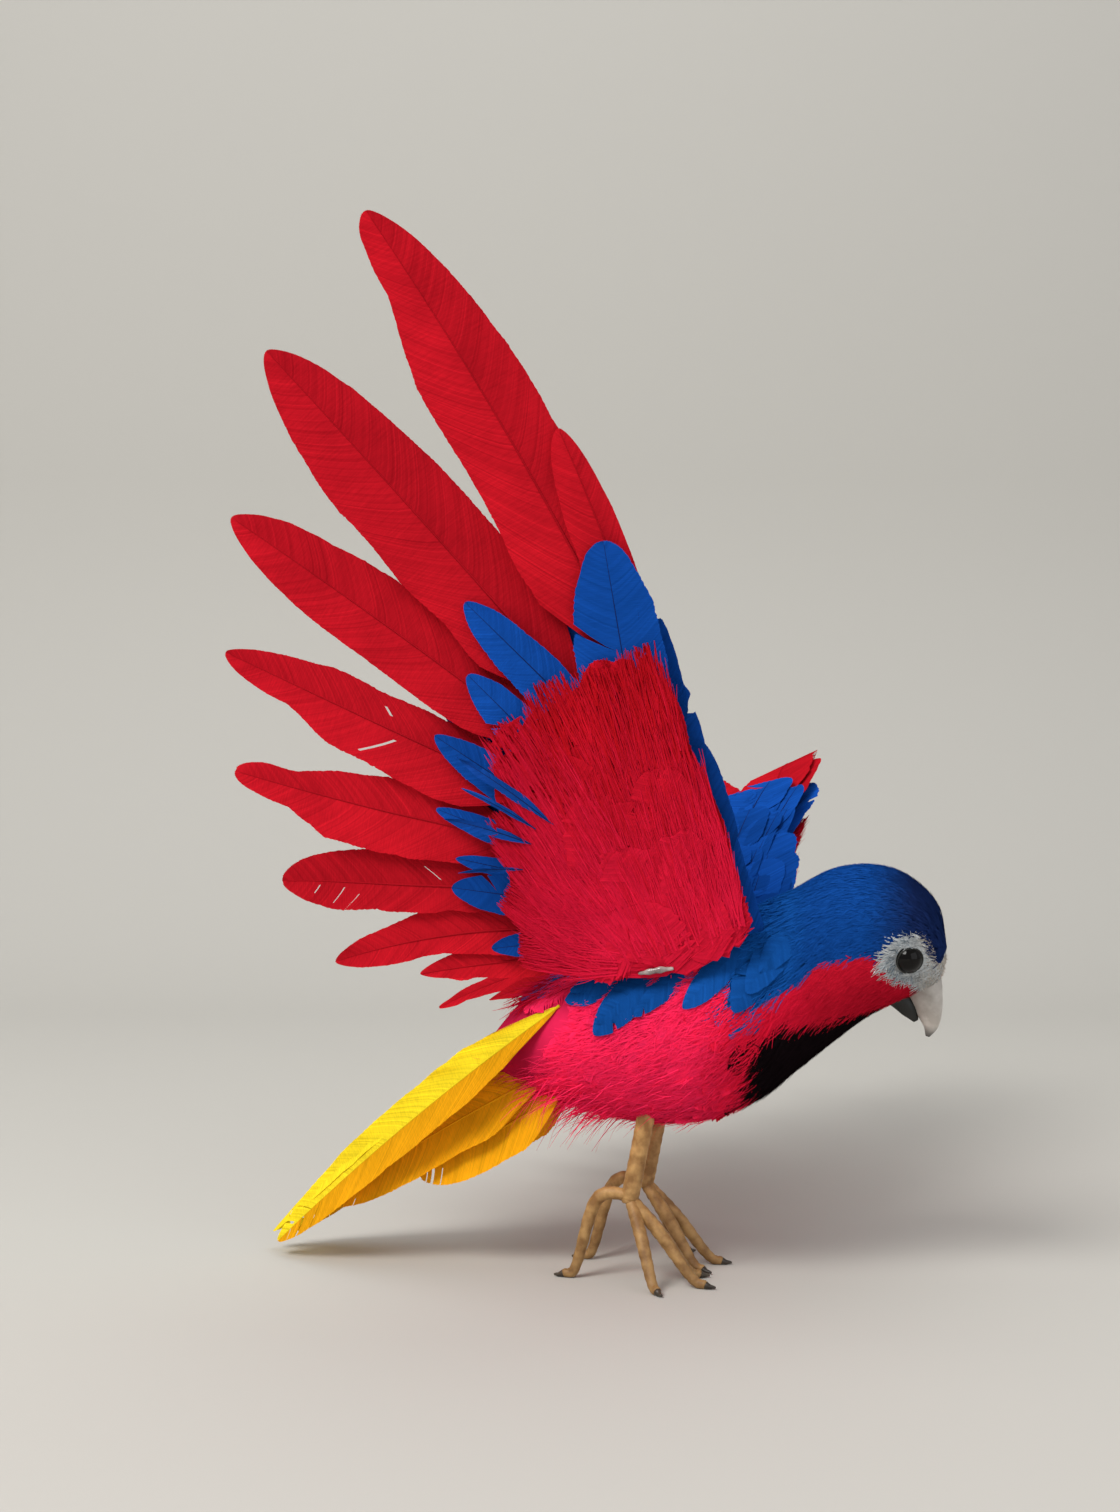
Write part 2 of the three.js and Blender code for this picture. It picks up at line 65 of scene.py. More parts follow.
# Feathers of a wing: root and tip in the wing's plane, the widths before and behind the shaft, and the bow.
PRIMARIES = [((5, 56), (-10.5, 104.5), 3.6, 6, 0.6), ((4, 51), (-42.6, 144.6), 8.6, 10.4, 2),
    ((-3, 45), (-64.4, 121), 9.4, 10.8, 0.3), ((-9, 38.5), (-75.2, 90.3), 8.2, 7.8, 0.6),
    ((-13, 31), (-79.7, 63.8), 6.6, 7.8, 0.3), ((-15, 23), (-80.3, 40.3), 6, 7, 0),
    ((-16, 15), (-73, 15.4), 6.8, 5.4, 1), ((-16, 8), (-63.4, 0.4), 5, 4.2, 2),
    ((-12, 2.5), (-46, -2), 3.8, 3, 0.6)]
UNDER_COVERTS = [((4, 38), (2.4, 75), 3, 4.6), ((2, 36), (-3.1, 84), 8.2, 8.8),
    ((0, 41), (-30.2, 73.2), 4.6, 5), ((-4, 30), (-30.9, 59.2), 4.4, 5),
    ((-6, 24.5), (-38.4, 47.4), 3.8, 4.4), ((-6, 19.5), (-39.2, 32.8), 2.4, 2.8),
    ((-7, 16.5), (-36.2, 22.8), 2, 2.3), ((-7, 13), (-37.4, 16.8), 4.2, 4.4),
    ((-3, 8), (-30.2, 4.4), 3.2, 3)]
LINING = [((18.5, 9), (9.5, 44), 4.2, 9), ((14.5, 6), (3.4, 64), 4.8, 9.5), ((10, 4), (-5, 61), 9.5, 9.5),
    ((6, 3), (-15, 58.5), 9.5, 9.5), ((2, 3), (-25, 52), 9.5, 9.5), ((-2, 3.5), (-27.6, 37), 8.5, 8.5),
    ((-4, 4), (-28, 21), 7.5, 7.5), ((-3, 5), (-27, 8), 6.5, 6.5)]
UPPER_COVERTS = [((20.5, 2), (10, 47), 4.2, 9), ((16, 0), (2.6, 74), 3.8, 10),
    ((12, -1), (-9, 81), 8.5, 9.5), ((8, -2), (-25, 74), 9.5, 9.5), ((4, -2), (-36, 60), 9, 9),
    ((0, -1), (-40, 42), 8.5, 8.5), ((-3, 0), (-40, 23), 8, 8), ((-2, 2), (-34, 8), 7, 6)]
WINGS = {"right": dict(side=-1, lean=14, sweep=0, twist=0, root=(2, 13, 62), cup=7, power=2.0),
    "left": dict(side=1, lean=56, sweep=14, twist=-20.8, root=(-0.4, 13, 60), cup=39, power=2.7)}
WING_LENGTH = 150
# How much the long feathers are tilted to lie on each other.
SHINGLE = 0.14
TAIL_TOP = dict(root=(-14, 0, 57.5), tip=(-80.5, 0, 3.8), width=13, roll=0, bow=4)
TAIL_SIDE = {"upper": dict(root=(-16, -10.9, 54.2), tip=(-77.5, -5, 3), width=13, roll=48, bow=1.4),
    "middle": dict(root=(-18, -6.8, 41), tip=(-66.7, -5.3, 11.4), width=13, roll=68, bow=1),
    "lower": dict(root=(-17, -6.4, 36), tip=(-46.5, -5.5, 18), width=12.5, roll=72, bow=0)}
# Feathers on the body's side: root and tip as the place along it and degrees from the top, and the width.
MANTLE = [((33, 36), (19.5, 86), 10.5), ((24, 42), (10, 76), 6.5), ((13, 44), (0.5, 77), 5),
    ((5, 44), (-7.5, 85), 7.5), ((-2, 42), (-14, 58), 6.5)]


def hermite(x, xs, ys):
    """The smooth curve of the solids' body through the table's values."""
    x = np.clip(x, xs[0], xs[-1])
    i = np.clip(np.searchsorted(xs, x, side="left") - 1, 0, len(xs) - 2)
    before, after = np.maximum(i - 1, 0), np.minimum(i + 2, len(xs) - 1)
    span = xs[i + 1] - xs[i]
    slope_a = (ys[i + 1] - ys[before]) / (xs[i + 1] - xs[before])
    slope_b = (ys[after] - ys[i]) / (xs[after] - xs[i])
    t = (x - xs[i]) / span
    t2, t3 = t * t, t * t * t
    return (
        (2 * t3 - 3 * t2 + 1) * ys[i]
        + (t3 - 2 * t2 + t) * span * slope_a
        + (3 * t2 - 2 * t3) * ys[i + 1]
        + (t3 - t2) * span * slope_b
    )


def body_size(x):
    """The body's top, underside and half width at the places x."""
    return [hermite(x, BODY[:, 0], BODY[:, k]) for k in (1, 2, 3)]


def body_point(x, angle, offset=0.0):
    """Points of the body's surface; angle in radians from the top towards the left side."""
    x = np.asarray(x, float)
    top, base, half = body_size(x)
    middle, height = (top + base) / 2, (top - base) / 2
    return np.stack(np.broadcast_arrays(x, (half + offset) * np.sin(angle),
        middle + (height + offset) * np.cos(angle)), -1)


def unit(vectors):
    """Vectors along the last axis, scaled to a length of one."""
    return vectors / np.maximum(1e-9, np.linalg.norm(vectors, axis=-1, keepdims=True))


def body_normal(x, angle):
    step, turn = 0.2, 0.02
    dx = body_point(np.asarray(x) + step, angle) - body_point(np.asarray(x) - step, angle)
    da = body_point(x, np.asarray(angle) + turn) - body_point(x, np.asarray(angle) - turn)
    return unit(np.cross(dx, da))


def rotation(axis, degrees):
    c, s = math.cos(math.radians(degrees)), math.sin(math.radians(degrees))
    return {"x": np.array([[1, 0, 0], [0, c, -s], [0, s, c]]),
        "y": np.array([[c, 0, s], [0, 1, 0], [-s, 0, c]]),
        "z": np.array([[c, -s, 0], [s, c, 0], [0, 0, 1]])}[axis]


# Meshes.


def ring_faces(rows, sides):
    """The numbers of the points of a tube's rings, and its quads."""
    index = np.arange(rows * sides).reshape(rows, sides)
    following = np.roll(index, -1, 1)
    return index, np.stack([index[:-1], following[:-1], following[1:], index[1:]], -1).reshape(-1, 4)


def opaque(tints):
    """Tints with a fourth channel of one."""
    return np.concatenate([tints, np.ones((len(tints), 1))], 1)


class Cloth:
    """Collects faces with a place along and across their feather and a tint, then makes one piece."""

    def __init__(self, name, material, slot=None, replaces=()):
        self.name, self.material, self.slot, self.replaced = name, material, slot, replaces
        self.points, self.faces, self.uvs, self.tints, self.count = [], [], [], [], 0

    def add(self, points, faces, uv, tint):
        """points (n, 3) in mm in the part's own frame, faces (m, 4), uv (n, 2), tint (n, 4)."""
        self.points.append(points)
        self.faces.append(np.asarray(faces) + self.count)
        self.uvs.append(uv)
        self.tints.append(np.broadcast_to(tint, (len(points), 4)))
        self.count += len(points)

    def make(self):
        points = np.concatenate(self.points) * MM + ORIGIN
        faces = [f[:3] if f[2] == f[3] else f for f in np.concatenate(self.faces).tolist()]
        uv, tint = np.concatenate(self.uvs), np.concatenate(self.tints)
        mesh = bpy.data.meshes.new(self.name)
        mesh.from_pydata(points.tolist(), [], faces)
        corners = np.zeros(len(mesh.loops), int)
        mesh.loops.foreach_get("vertex_index", corners)
        mesh.uv_layers.new(name="UVMap").data.foreach_set("uv", uv[corners].astype(np.float32).ravel())
        colour = mesh.color_attributes.new("tint", "FLOAT_COLOR", "POINT")
        colour.data.foreach_set("color", tint.astype(np.float32).ravel())
        mesh.shade_smooth()
        mesh.materials.append(self.material)
        piece = bpy.data.objects.new(self.name, mesh)
        bpy.context.collection.objects.link(piece)
        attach(piece, "root")
        if self.replaced:
            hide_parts(*self.replaced)


# The form of a feather's end: the curve of its sides as they close, and how blunt the end itself is.
POINTED, ROUNDED, BLUNT = (2.0, 0.75), (2.4, 0.6), (3.0, 0.5)


def vane_share(t, base, tip_form):
    t = np.asarray(t, float)
    rise = np.clip(t / 0.34, 0, 1)
    rise = rise * rise * (3 - 2 * rise)
    past = np.clip((t - 0.5) / 0.5, 0, 1)
    return (base + (1 - base) * rise) * np.maximum(0, 1 - past ** tip_form[0]) ** tip_form[1]


def wander(n, scale, rough=1.0):
    """A smooth random line of n values of about the given scale."""
    knots = max(3, int(n / 9 * rough))
    return np.interp(np.linspace(0, knots - 1, n), np.arange(knots), rng.normal(size=knots)) * scale


# A split is open where neighbouring barbs lie apart by this share of the length.
SPLIT_GAP = 0.02
# Knots of a feather's sideways swing, and how rough a long slow wave is.
SWING_KNOTS, LONG_WAVES = 41, 0.35
# How far a barb reaches under the next one, as a share of the distance between two.
BARB_OVERLAP = 0.4


def feather(cloth, warp, length, lead, trail, tint, barb, segments, base, start, splits, ragged, shaft,
        shaft_tint=None, tip_form=BLUNT, split_size=0.05, fluff=0.0, camber=0.0, ridge=0.07, wave=0.0,
        slits=(), half_shades=(1.0, 1.0), sway=0.0, profile=None):
    """One feather, barb by barb. warp(t, across, height) gives points from the share of the length, the
    distance from the shaft in mm, positive towards the leading side, and the height over the feather's own
    surface. Each of slits is a side, a share of the length, a number of barbs and the barbs' first and last
    missing segments."""
    rows = max(6, int(length * (1 - start) / barb))
    tint = np.asarray(tint, float)
    swing = wander(SWING_KNOTS, sway, LONG_WAVES) if sway else np.zeros(SWING_KNOTS)

    def bent(t):
        return np.interp(t, np.linspace(0, 1, SWING_KNOTS), swing) * np.clip(t * 1.6 - 0.4, 0, 1)

    for sign, width in ((1, lead), (-1, trail)):
        # Each half of the vane takes its own factor of the tint; a factor below one paints shade on that
        # half.
        dye_and_shade = tint * half_shades[0 if sign > 0 else 1]
        root = np.linspace(start, 0.997, rows + 1)
        reach = root + 0.2 * (1 - root) ** 0.62 * min(1.0, width * 5.5 / length + 0.35)
        reach = np.minimum(reach, 1.0)
        out = width * vane_share(reach, base, tip_form)
        out *= 1 + wander(rows + 1, ragged * 0.6) + rng.normal(size=rows + 1) * ragged * 0.25
        if wave:
            out *= 1 + wander(rows + 1, wave, LONG_WAVES)
        if profile:
            out *= np.interp(reach, profile[0], profile[1 if sign > 0 else 2])
        shift = wander(rows + 1, ragged * 0.05)
        for _ in range(rng.poisson(splits)):
            at = rng.integers(int(rows * 0.25), rows - 1)
            spread = rng.integers(3, 3 + max(2, rows // 9))
            size = split_size * rng.uniform(0.4, 1.2)
            k = np.arange(rows + 1)
            away = (k - at - 0.5) / spread
            shift += size * np.sign(away) * np.clip(1 - np.abs(away), 0, 1)
        if fluff:
            loose = np.clip(1 - (root - start) / fluff, 0, 1)
            shift += rng.normal(size=rows + 1) * 0.03 * loose
            out *= 1 + rng.uniform(-0.35, 0.1, rows + 1) * loose
        share = np.linspace(0, 1, segments + 1)
        # Rows of strips: their two edges, and their points from the shaft outwards.
        low, high = slice(0, rows), slice(1, rows + 1)
        strips = []
        for edge, part in enumerate((low, high)):
            r, e, w = root[part], reach[part], out[part]
            own = shift[:-1] if edge == 0 else shift[1:]
            t = r[:, None] + (e - r)[:, None] * share[None, :] ** 1.25 + own[:, None] * share[None,
                :] ** 1.5
            t = np.minimum(t + edge * BARB_OVERLAP * (1 - start) / rows, 1.0)
            a = sign * w[:, None] * share[None, :]
            lift = ridge * (0.5 - edge) * (0.3 + share[None, :])
            arch = -camber * (share[None, :] ** 2) * (w[:, None] / max(width, 1e-6))
            strips.append((t, a, np.broadcast_to(lift + arch, t.shape)))
        gap = np.abs(np.diff(shift)) > SPLIT_GAP
        t = np.stack([s[0] for s in strips], 1)  # rows, 2 edges, points
        a = np.stack([s[1] for s in strips], 1)
        h = np.stack([s[2] for s in strips], 1).copy()
        if gap.any():
            # A strip across a split closes to its own lower edge.
            t[gap, 1] = t[gap, 0] + (t[gap, 1] - t[gap, 0]) * (1 - share) * 0.9
            t[gap, 1] = np.minimum(t[gap, 1], 1)
        h = h + wander(rows, 0.08 + 1.5 * ragged)[:, None, None] * (share**2)[None, None, :]
        points = warp(t.reshape(-1), (a + bent(t)).reshape(-1), h.reshape(-1))
        n = segments + 1
        index = np.arange(rows * 2 * n).reshape(rows, 2, n)
        quads = np.stack([index[:, 0, :-1], index[:, 0, 1:], index[:, 1, 1:], index[:, 1, :-1]],
            -1).reshape(-1, 4)
        if sign < 0:
            quads = quads[:, ::-1]
        kept = np.ones((rows, segments), bool)
        for slit_side, place, barbs, inner, outer in slits:
            if slit_side == sign:
                row = int(rows * place)
                kept[row : row + barbs, inner:outer] = False
        quads = quads[kept.reshape(-1)]
        shade = (1 + rng.normal(size=rows) * 0.07)[:, None, None] * np.ones((rows, 2, n))
        shade = shade * (1 - 0.10 * (1 - share))[None, None, :]
        uv = np.stack([(0.5 + 0.5 * a.reshape(-1) / max(lead, trail, 1e-6)), t.reshape(-1)], 1)
        cloth.add(points, quads, uv, opaque(shade.reshape(-1, 1) * dye_and_shade[None, :3]))
    if shaft:
        steps, sides = 14, 5
        t = np.linspace(0, 0.985, steps)
        radius = shaft * (1 - 0.82 * t)
        ring = np.linspace(0, 2 * math.pi, sides, endpoint=False)
        tt = np.repeat(t, sides)
        aa = (radius[:, None] * np.cos(ring)).reshape(-1)
        hh = (radius[:, None] * 0.8 * np.sin(ring)).reshape(-1)
        points = warp(tt, aa + bent(tt), hh)
        quads = ring_faces(steps, sides)[1]
        cloth.add(points, quads, np.stack([np.full(len(tt), 0.5), tt], 1), np.append(shaft_tint, 1.0))


# Places of a loose barb's points along it.
STRIP_STEPS = (0, 0.35, 0.7, 1.0)


def strip_faces(n):
    """Quads of n strips of three segments each, whose points lie in pairs."""
    index = np.arange(n * 8).reshape(n, 4, 2)
    return np.stack([index[:, :-1, 0], index[:, :-1, 1], index[:, 1:, 1], index[:, 1:, 0]], -1).reshape(-1,
        4)


def strands(cloth, roots, ways, lengths, tints, width, bend):
    """Loose barbs: tapering ribbons of three segments that bend downwards and wander."""
    n = len(roots)
    ways = unit(ways)
    across = unit(np.cross(ways, rng.normal(size=(n, 3))))
    sway = np.cross(ways, across)
    curve = rng.normal(size=(n, 1)) * 0.35
    edges = []
    for s in STRIP_STEPS:
        centre = roots + ways * (lengths * s)[:, None]
        centre = centre + (np.array([0, 0, -1]) * bend + sway * curve) * (lengths * s * s)[:, None]
        half = width / 2 * (1 - 0.85 * s)
        edges += [centre - across * half, centre + across * half]
    points = np.stack(edges, 1).reshape(-1, 3)
    uv = np.stack([np.full(n * 8, 0.5), np.tile(np.repeat(STRIP_STEPS, 2), n)], 1)
    cloth.add(points, strip_faces(n), uv, np.repeat(opaque(tints), 8, 0))


def ribbons(cloth, surface, length, width, tints):
    """Barbs laid on a surface: surface(s, edge) gives points at the share s of each barb's length, shifted
    sideways by edge mm."""
    n = len(length)
    edges = []
    for s in STRIP_STEPS:
        half = width / 2 * (1 - 0.8 * s)
        edges += [surface(s, -half), surface(s, half)]
    points = np.stack(edges, 1).reshape(-1, 3)
    uv = np.stack([np.repeat(rng.random(n), 8), np.tile(np.repeat(STRIP_STEPS, 2), n)], 1)
    cloth.add(points, strip_faces(n), uv, np.repeat(opaque(tints), 8, 0))


def comb_body(cloth, x, angle, length, width, yaw, lift, tints):
    """Barbs lying back along the body from their roots at x and angle."""
    top, low, half = body_size(x)
    arc = np.maximum(2.0, np.hypot(half * np.cos(angle), (top - low) / 2 * np.sin(angle)))
    sway = rng.normal(size=len(x)) * 0.25

    def surface(s, edge):
        turn = yaw + sway * s
        px = x - length * s * np.cos(turn) + edge * np.sin(turn)
        pa = angle + (length * s * np.sin(turn) + edge * np.cos(turn)) / arc
        inside = np.clip(px, -35.2, 58)
        points = body_point(inside, pa) + body_normal(np.clip(px, -35, 57.3), pa) * (0.1 + lift * s)[:,
            None]
        return points + np.multiply.outer(px - inside, (1, 0, 0))

    ribbons(cloth, surface, length, width, tints)


# The lining's feathers are drawn no wider than this behind their shafts.
LINING_WIDEST = 9
# Loose barbs on each lining, each half of the body and each cheek.
LINING_BARBS, COAT_BARBS, CHEEK_BARBS = 9000, 26000, 5200


def comb_wing(cloth, wing, feathers, count, levels, lengths, width, colours):
    """Barbs lying along a wing's layer, each beside the shaft of one of its feathers."""
    for root, tip, lead, trail in feathers:
        n = int(count / len(feathers))
        warp = wing_warp(wing, root, tip, 0, 0)
        full = math.dist(root, tip)
        t = 1 - rng.uniform(0, 0.97, n) ** 1.15
        side = rng.uniform(-1, 0.88, n)
        out = np.where(side > 0, side * lead, side * min(LINING_WIDEST, trail)) * 0.95
        length = rng.uniform(*lengths, n)
        level = np.interp(t, [0, 1], levels) + rng.uniform(-0.25, 0.25, n)
        sway = rng.normal(size=n) * 0.6
        reach = rng.uniform(0.88, 1.02, n)
        paler = 0.3 if tip[1] < 55 else -0.1
        mix = np.clip(0.95 + paler - 0.95 * t[:, None] + rng.normal(0, 0.16, (n, 1)), 0, 1)
        tints = (colours[0] * (1 - mix) + colours[1] * mix) * rng.uniform(0.88, 1.12, (n, 1))

        def surface(s, edge):
            at = np.minimum(t + s * length / full, reach)
            share = vane_share(np.minimum(np.maximum(t, at * 0.8), 0.98), 0.7, ROUNDED)
            return warp(at, out * share + sway * s + edge, level + 0.15 * s)

        ribbons(cloth, surface, length, width, tints)


# Materials.


def linear(r, g, b):
    """Linear colour of an 8-bit one."""
    return np.array([((c / 255) / 12.92 if c <= 10 else ((c / 255 + 0.055) / 1.055) ** 2.4) for c in (r, g,
        b)])


def nodes_of(name):
    material = bpy.data.materials.new(name)
    material.use_nodes = True
    tree = material.node_tree
    return material, tree, tree.nodes["Principled BSDF"]


def add_node(tree, kind, **inputs):
    """A new shader node; the names of its inputs are written with _ for a space."""
    node = tree.nodes.new("ShaderNode" + kind)
    for name, value in inputs.items():
        node.inputs[name.replace("_", " ")].default_value = value
    return node


def mesh_tint(tree):
    tint = tree.nodes.new("ShaderNodeVertexColor")
    tint.layer_name = "tint"
    return tint.outputs["Color"]


def add_bump(tree, shader, height, strength, distance):
    bump = add_node(tree, "Bump", Strength=strength, Distance=distance)
    tree.links.new(height, bump.inputs["Height"])
    tree.links.new(bump.outputs["Normal"], shader.inputs["Normal"])


def mix_surface(tree, share, first, second):
    """Sends a mix of two shaders to the surface; share is a number or a node's output."""
    blend = tree.nodes.new("ShaderNodeMixShader")
    if isinstance(share, float):
        blend.inputs["Fac"].default_value = share
    else:
        tree.links.new(share, blend.inputs["Fac"])
    tree.links.new(first.outputs[0], blend.inputs[1])
    tree.links.new(second.outputs[0], blend.inputs[2])
    tree.links.new(blend.outputs[0], tree.nodes["Material Output"].inputs["Surface"])


# A feather's mean brightness, and how far the streaks go from it.
BRIGHTNESS, STREAK = 1.09, 0.2


def feather_material(name, roughness=0.75, through=0.16, scale=260):
    """Dyed feather: the mesh's tint, streaked along the barbs and blotched, with some light through it."""
    material, tree, shader = nodes_of(name)
    link, new = tree.links.new, tree.nodes.new
    where = new("ShaderNodeUVMap")
    where.uv_map = "UVMap"
    stretch = add_node(tree, "Mapping", Scale=(6, scale, 1))
    link(where.outputs["UV"], stretch.inputs["Vector"])
    fine = add_node(tree, "TexNoise", Scale=1.0, Detail=2.0)
    link(stretch.outputs["Vector"], fine.inputs["Vector"])
    blotch = add_node(tree, "TexNoise", Scale=95, Detail=4)
    link(new("ShaderNodeTexCoord").outputs["Object"], blotch.inputs["Vector"])
    both = new("ShaderNodeMath")
    both.operation = "ADD"
    link(fine.outputs["Fac"], both.inputs[0])
    link(blotch.outputs["Fac"], both.inputs[1])
    shade = add_node(tree, "MapRange", From_Min=0.6, From_Max=1.4, To_Min=BRIGHTNESS - STREAK,
        To_Max=BRIGHTNESS + STREAK)
    link(both.outputs[0], shade.inputs["Value"])
    mix = new("ShaderNodeVectorMath")
    mix.operation = "SCALE"
    link(mesh_tint(tree), mix.inputs[0])
    link(shade.outputs["Result"], mix.inputs["Scale"])
    link(mix.outputs["Vector"], shader.inputs["Base Color"])
    shader.inputs["Roughness"].default_value = roughness
    shader.inputs["Specular IOR Level"].default_value = 0.0
    add_bump(tree, shader, fine.outputs["Fac"], 0.15, 0.0002)
    glow = new("ShaderNodeBsdfTranslucent")
    link(mix.outputs["Vector"], glow.inputs["Color"])
    mix_surface(tree, through, shader, glow)
    return material


def noisy_material(name, dark, light, roughness, scale, bump_size=0.0, coat=0.0):
    """A surface whose colour wanders between two, times the mesh's tint, with fine relief."""
    material, tree, shader = nodes_of(name)
    link, new = tree.links.new, tree.nodes.new
    noise = add_node(tree, "TexNoise", Scale=scale, Detail=6)
    link(new("ShaderNodeTexCoord").outputs["Object"], noise.inputs["Vector"])
    ramp = new("ShaderNodeValToRGB")
    for element, position, colour in zip(ramp.color_ramp.elements, (0.35, 0.65), (dark, light)):
        element.position, element.color = position, (*colour, 1)
    link(noise.outputs["Fac"], ramp.inputs["Fac"])
    product = new("ShaderNodeVectorMath")
    product.operation = "MULTIPLY"
    link(ramp.outputs["Color"], product.inputs[0])
    link(mesh_tint(tree), product.inputs[1])
    link(product.outputs["Vector"], shader.inputs["Base Color"])
    shader.inputs["Roughness"].default_value = roughness
    shader.inputs["Coat Weight"].default_value = coat
    if bump_size:
        add_bump(tree, shader, noise.outputs["Fac"], 0.6, bump_size)
    return material


RED, SHAFT_RED, TUFT_RED = linear(196, 24, 38), linear(168, 20, 32), linear(208, 24, 60)
LINING_RED, LINING_PINK = linear(186, 18, 30), linear(218, 28, 62)
BLUE, DARK_BLUE, HEAD_BLUE = linear(20, 76, 165), linear(26, 44, 96), linear(18, 70, 146)
NAPE_BLUE, BROW_BLUE = linear(24, 94, 178), linear(24, 40, 84)
PINK, BREAST_RED, CHEEK_RED = linear(244, 42, 92), linear(224, 26, 58), linear(198, 24, 48)
BLACK = linear(22, 15, 18)
# The tail's yellow, then the same yellow darkened as it looks in shade: painted shade.
YELLOW, SHADED_YELLOW = linear(242, 216, 40), linear(222, 156, 20)
WHITE_DOWN, GREY_DOWN = linear(216, 220, 222), linear(112, 126, 136)
BEIGE_DOWN = linear(188, 180, 170)

FEATHER = feather_material("dyed_feather")
DOWN = feather_material("dyed_down", roughness=0.85, through=0.12, scale=20)
BILL = noisy_material("horn_bill", linear(158, 150, 142), linear(206, 200, 194), 0.34, 220, 0.0001,
    coat=0.2)
DARK_BILL = noisy_material("dark_bill", linear(8, 10, 7), linear(24, 26, 18), 0.5, 260, 0.0001)
EYE = noisy_material("eye_bead", linear(3, 2, 1), linear(9, 5, 4), 0.06, 120)
EYE.node_tree.nodes["Principled BSDF"].inputs["Specular IOR Level"].default_value = 0.2
LEG = noisy_material("painted_leg", linear(150, 106, 54), linear(206, 160, 98), 0.6, 420, 0.00025)
CLAW = noisy_material("claw", linear(38, 32, 26), linear(70, 58, 44), 0.45, 500, 0.0001)
GLUE = noisy_material("glue", linear(96, 76, 74), linear(190, 178, 174), 0.25, 300, 0.0002, coat=0.4)

# Wings.


def wing_warp(wing, root, tip, bow, level, shingle=0.0):
    root, tip = np.array(root, float), np.array(tip, float)
    along = unit(tip - root)
    across = np.array([along[1], -along[0]])
    side = wing["side"]
    turn = rotation("x", -side * wing["lean"]) @ rotation("y", wing["sweep"]) @ rotation("z", wing["twist"])
    seat = np.array([wing["root"][0], side * wing["root"][1], wing["root"][2]])

    def warp(t, a, h):
        flat = root + np.multiply.outer(t, tip - root) + np.multiply.outer(a + bow * 4 * t * (1 - t),
            across)
        reach = np.hypot(flat[:, 0], flat[:, 1]) / WING_LENGTH
        y = shingle * a - level - wing["cup"] * reach ** wing["power"] - h
        local = np.stack([flat[:, 0], -side * y, flat[:, 1]], 1)
        return local @ turn.T + seat

    return warp


# Gaps between the barbs of single long feathers, by wing and number.
SLITS = {("right", 5): ((-1, 0.42, 2, 1, 4), (1, 0.44, 2, 2, 3)),
    ("right", 7): ((-1, 0.74, 1, 1, 4), (-1, 0.66, 1, 2, 5), (1, 0.34, 1, 1, 3), (-1, 0.84, 1, 1, 3)),
    ("left", 6): ((-1, 0.55, 1, 2, 5),)}
# Worn outlines of the long feathers, by number: shares of the length, the leading and the trailing width.
PROFILES = {2: ((0, 0.7, 0.86, 0.95, 1), (1, 1, 1, 1, 1), (1, 1, 0.74, 0.95, 1.2)),
    5: ((0, 0.55, 0.68, 0.8, 1), (1, 1, 1, 0.95, 1), (1, 1, 1.12, 0.68, 0.8)),
    6: ((0, 0.55, 0.7, 0.82, 0.92, 1), (1, 1.05, 1, 0.78, 0.9, 0.9), (1, 1.1, 1.15, 0.7, 0.72, 0.8)),
    7: ((0, 0.4, 0.6, 0.75, 1), (1, 1, 1.05, 1.08, 1), (1, 0.85, 1.1, 1.15, 1.1)),
    8: ((0, 0.5, 0.7, 1), (1, 1.1, 0.85, 0.8), (1, 1, 0.85, 0.9))}
# How much of each lining feather's length its visible barbs take up.
LINING_REACH = (1, 1, 1, 0.99, 0.96, 0.9, 0.86, 0.86)
# How worn each long feather is, and how its tip closes.
WEAR = (0, 0, 0, 0, 1, 1, 1.5, 2, 2)
TIP_FORMS = ((2.6, 0.64),) * 5 + ((2.6, 0.5), (3, 0.5), (2.6, 0.7), POINTED)
# Narrow loose feathers over the lining's border: root, tip and half width.
LOOSE = [((-15.5, 30.5), (-33.4, 43.8), 1.0), ((-19, 29.6), (-33, 37.6), 0.6),
    ((-20, 26.6), (-37, 31.6), 0.9), ((-22, 21.5), (-35, 20.6), 0.5)]
# Courses of feathers on a layer: the share of their length at which they end, and how far in front they lie.
COVERT_COURSES = ((1.0, -2.2), (0.74, -2.9), (0.5, -3.5), (0.28, -3.9))
LONGEST_COVERT, LONGEST_LINING = 26, 30
LINING_COURSES = ((1.0, 3.4), (0.82, 4.1), (0.62, 4.7), (0.42, 5.1), (0.24, 5.3))


def doubled(layer):
    """The feathers of a layer, and one half way between each and the next: the number, the share of the way
    to the next one, the root, the tip and the widths."""
    for i, (root, tip, lead, trail) in enumerate(layer):
        following = layer[min(i + 1, len(layer) - 1)]
        for extra in (0, 0.5) if i + 1 < len(layer) else (0,):
            start = np.array(root) * (1 - extra) + np.array(following[0]) * extra
            end = np.array(tip) * (1 - extra) + np.array(following[1]) * extra
            yield i, extra, start, end, lead, trail


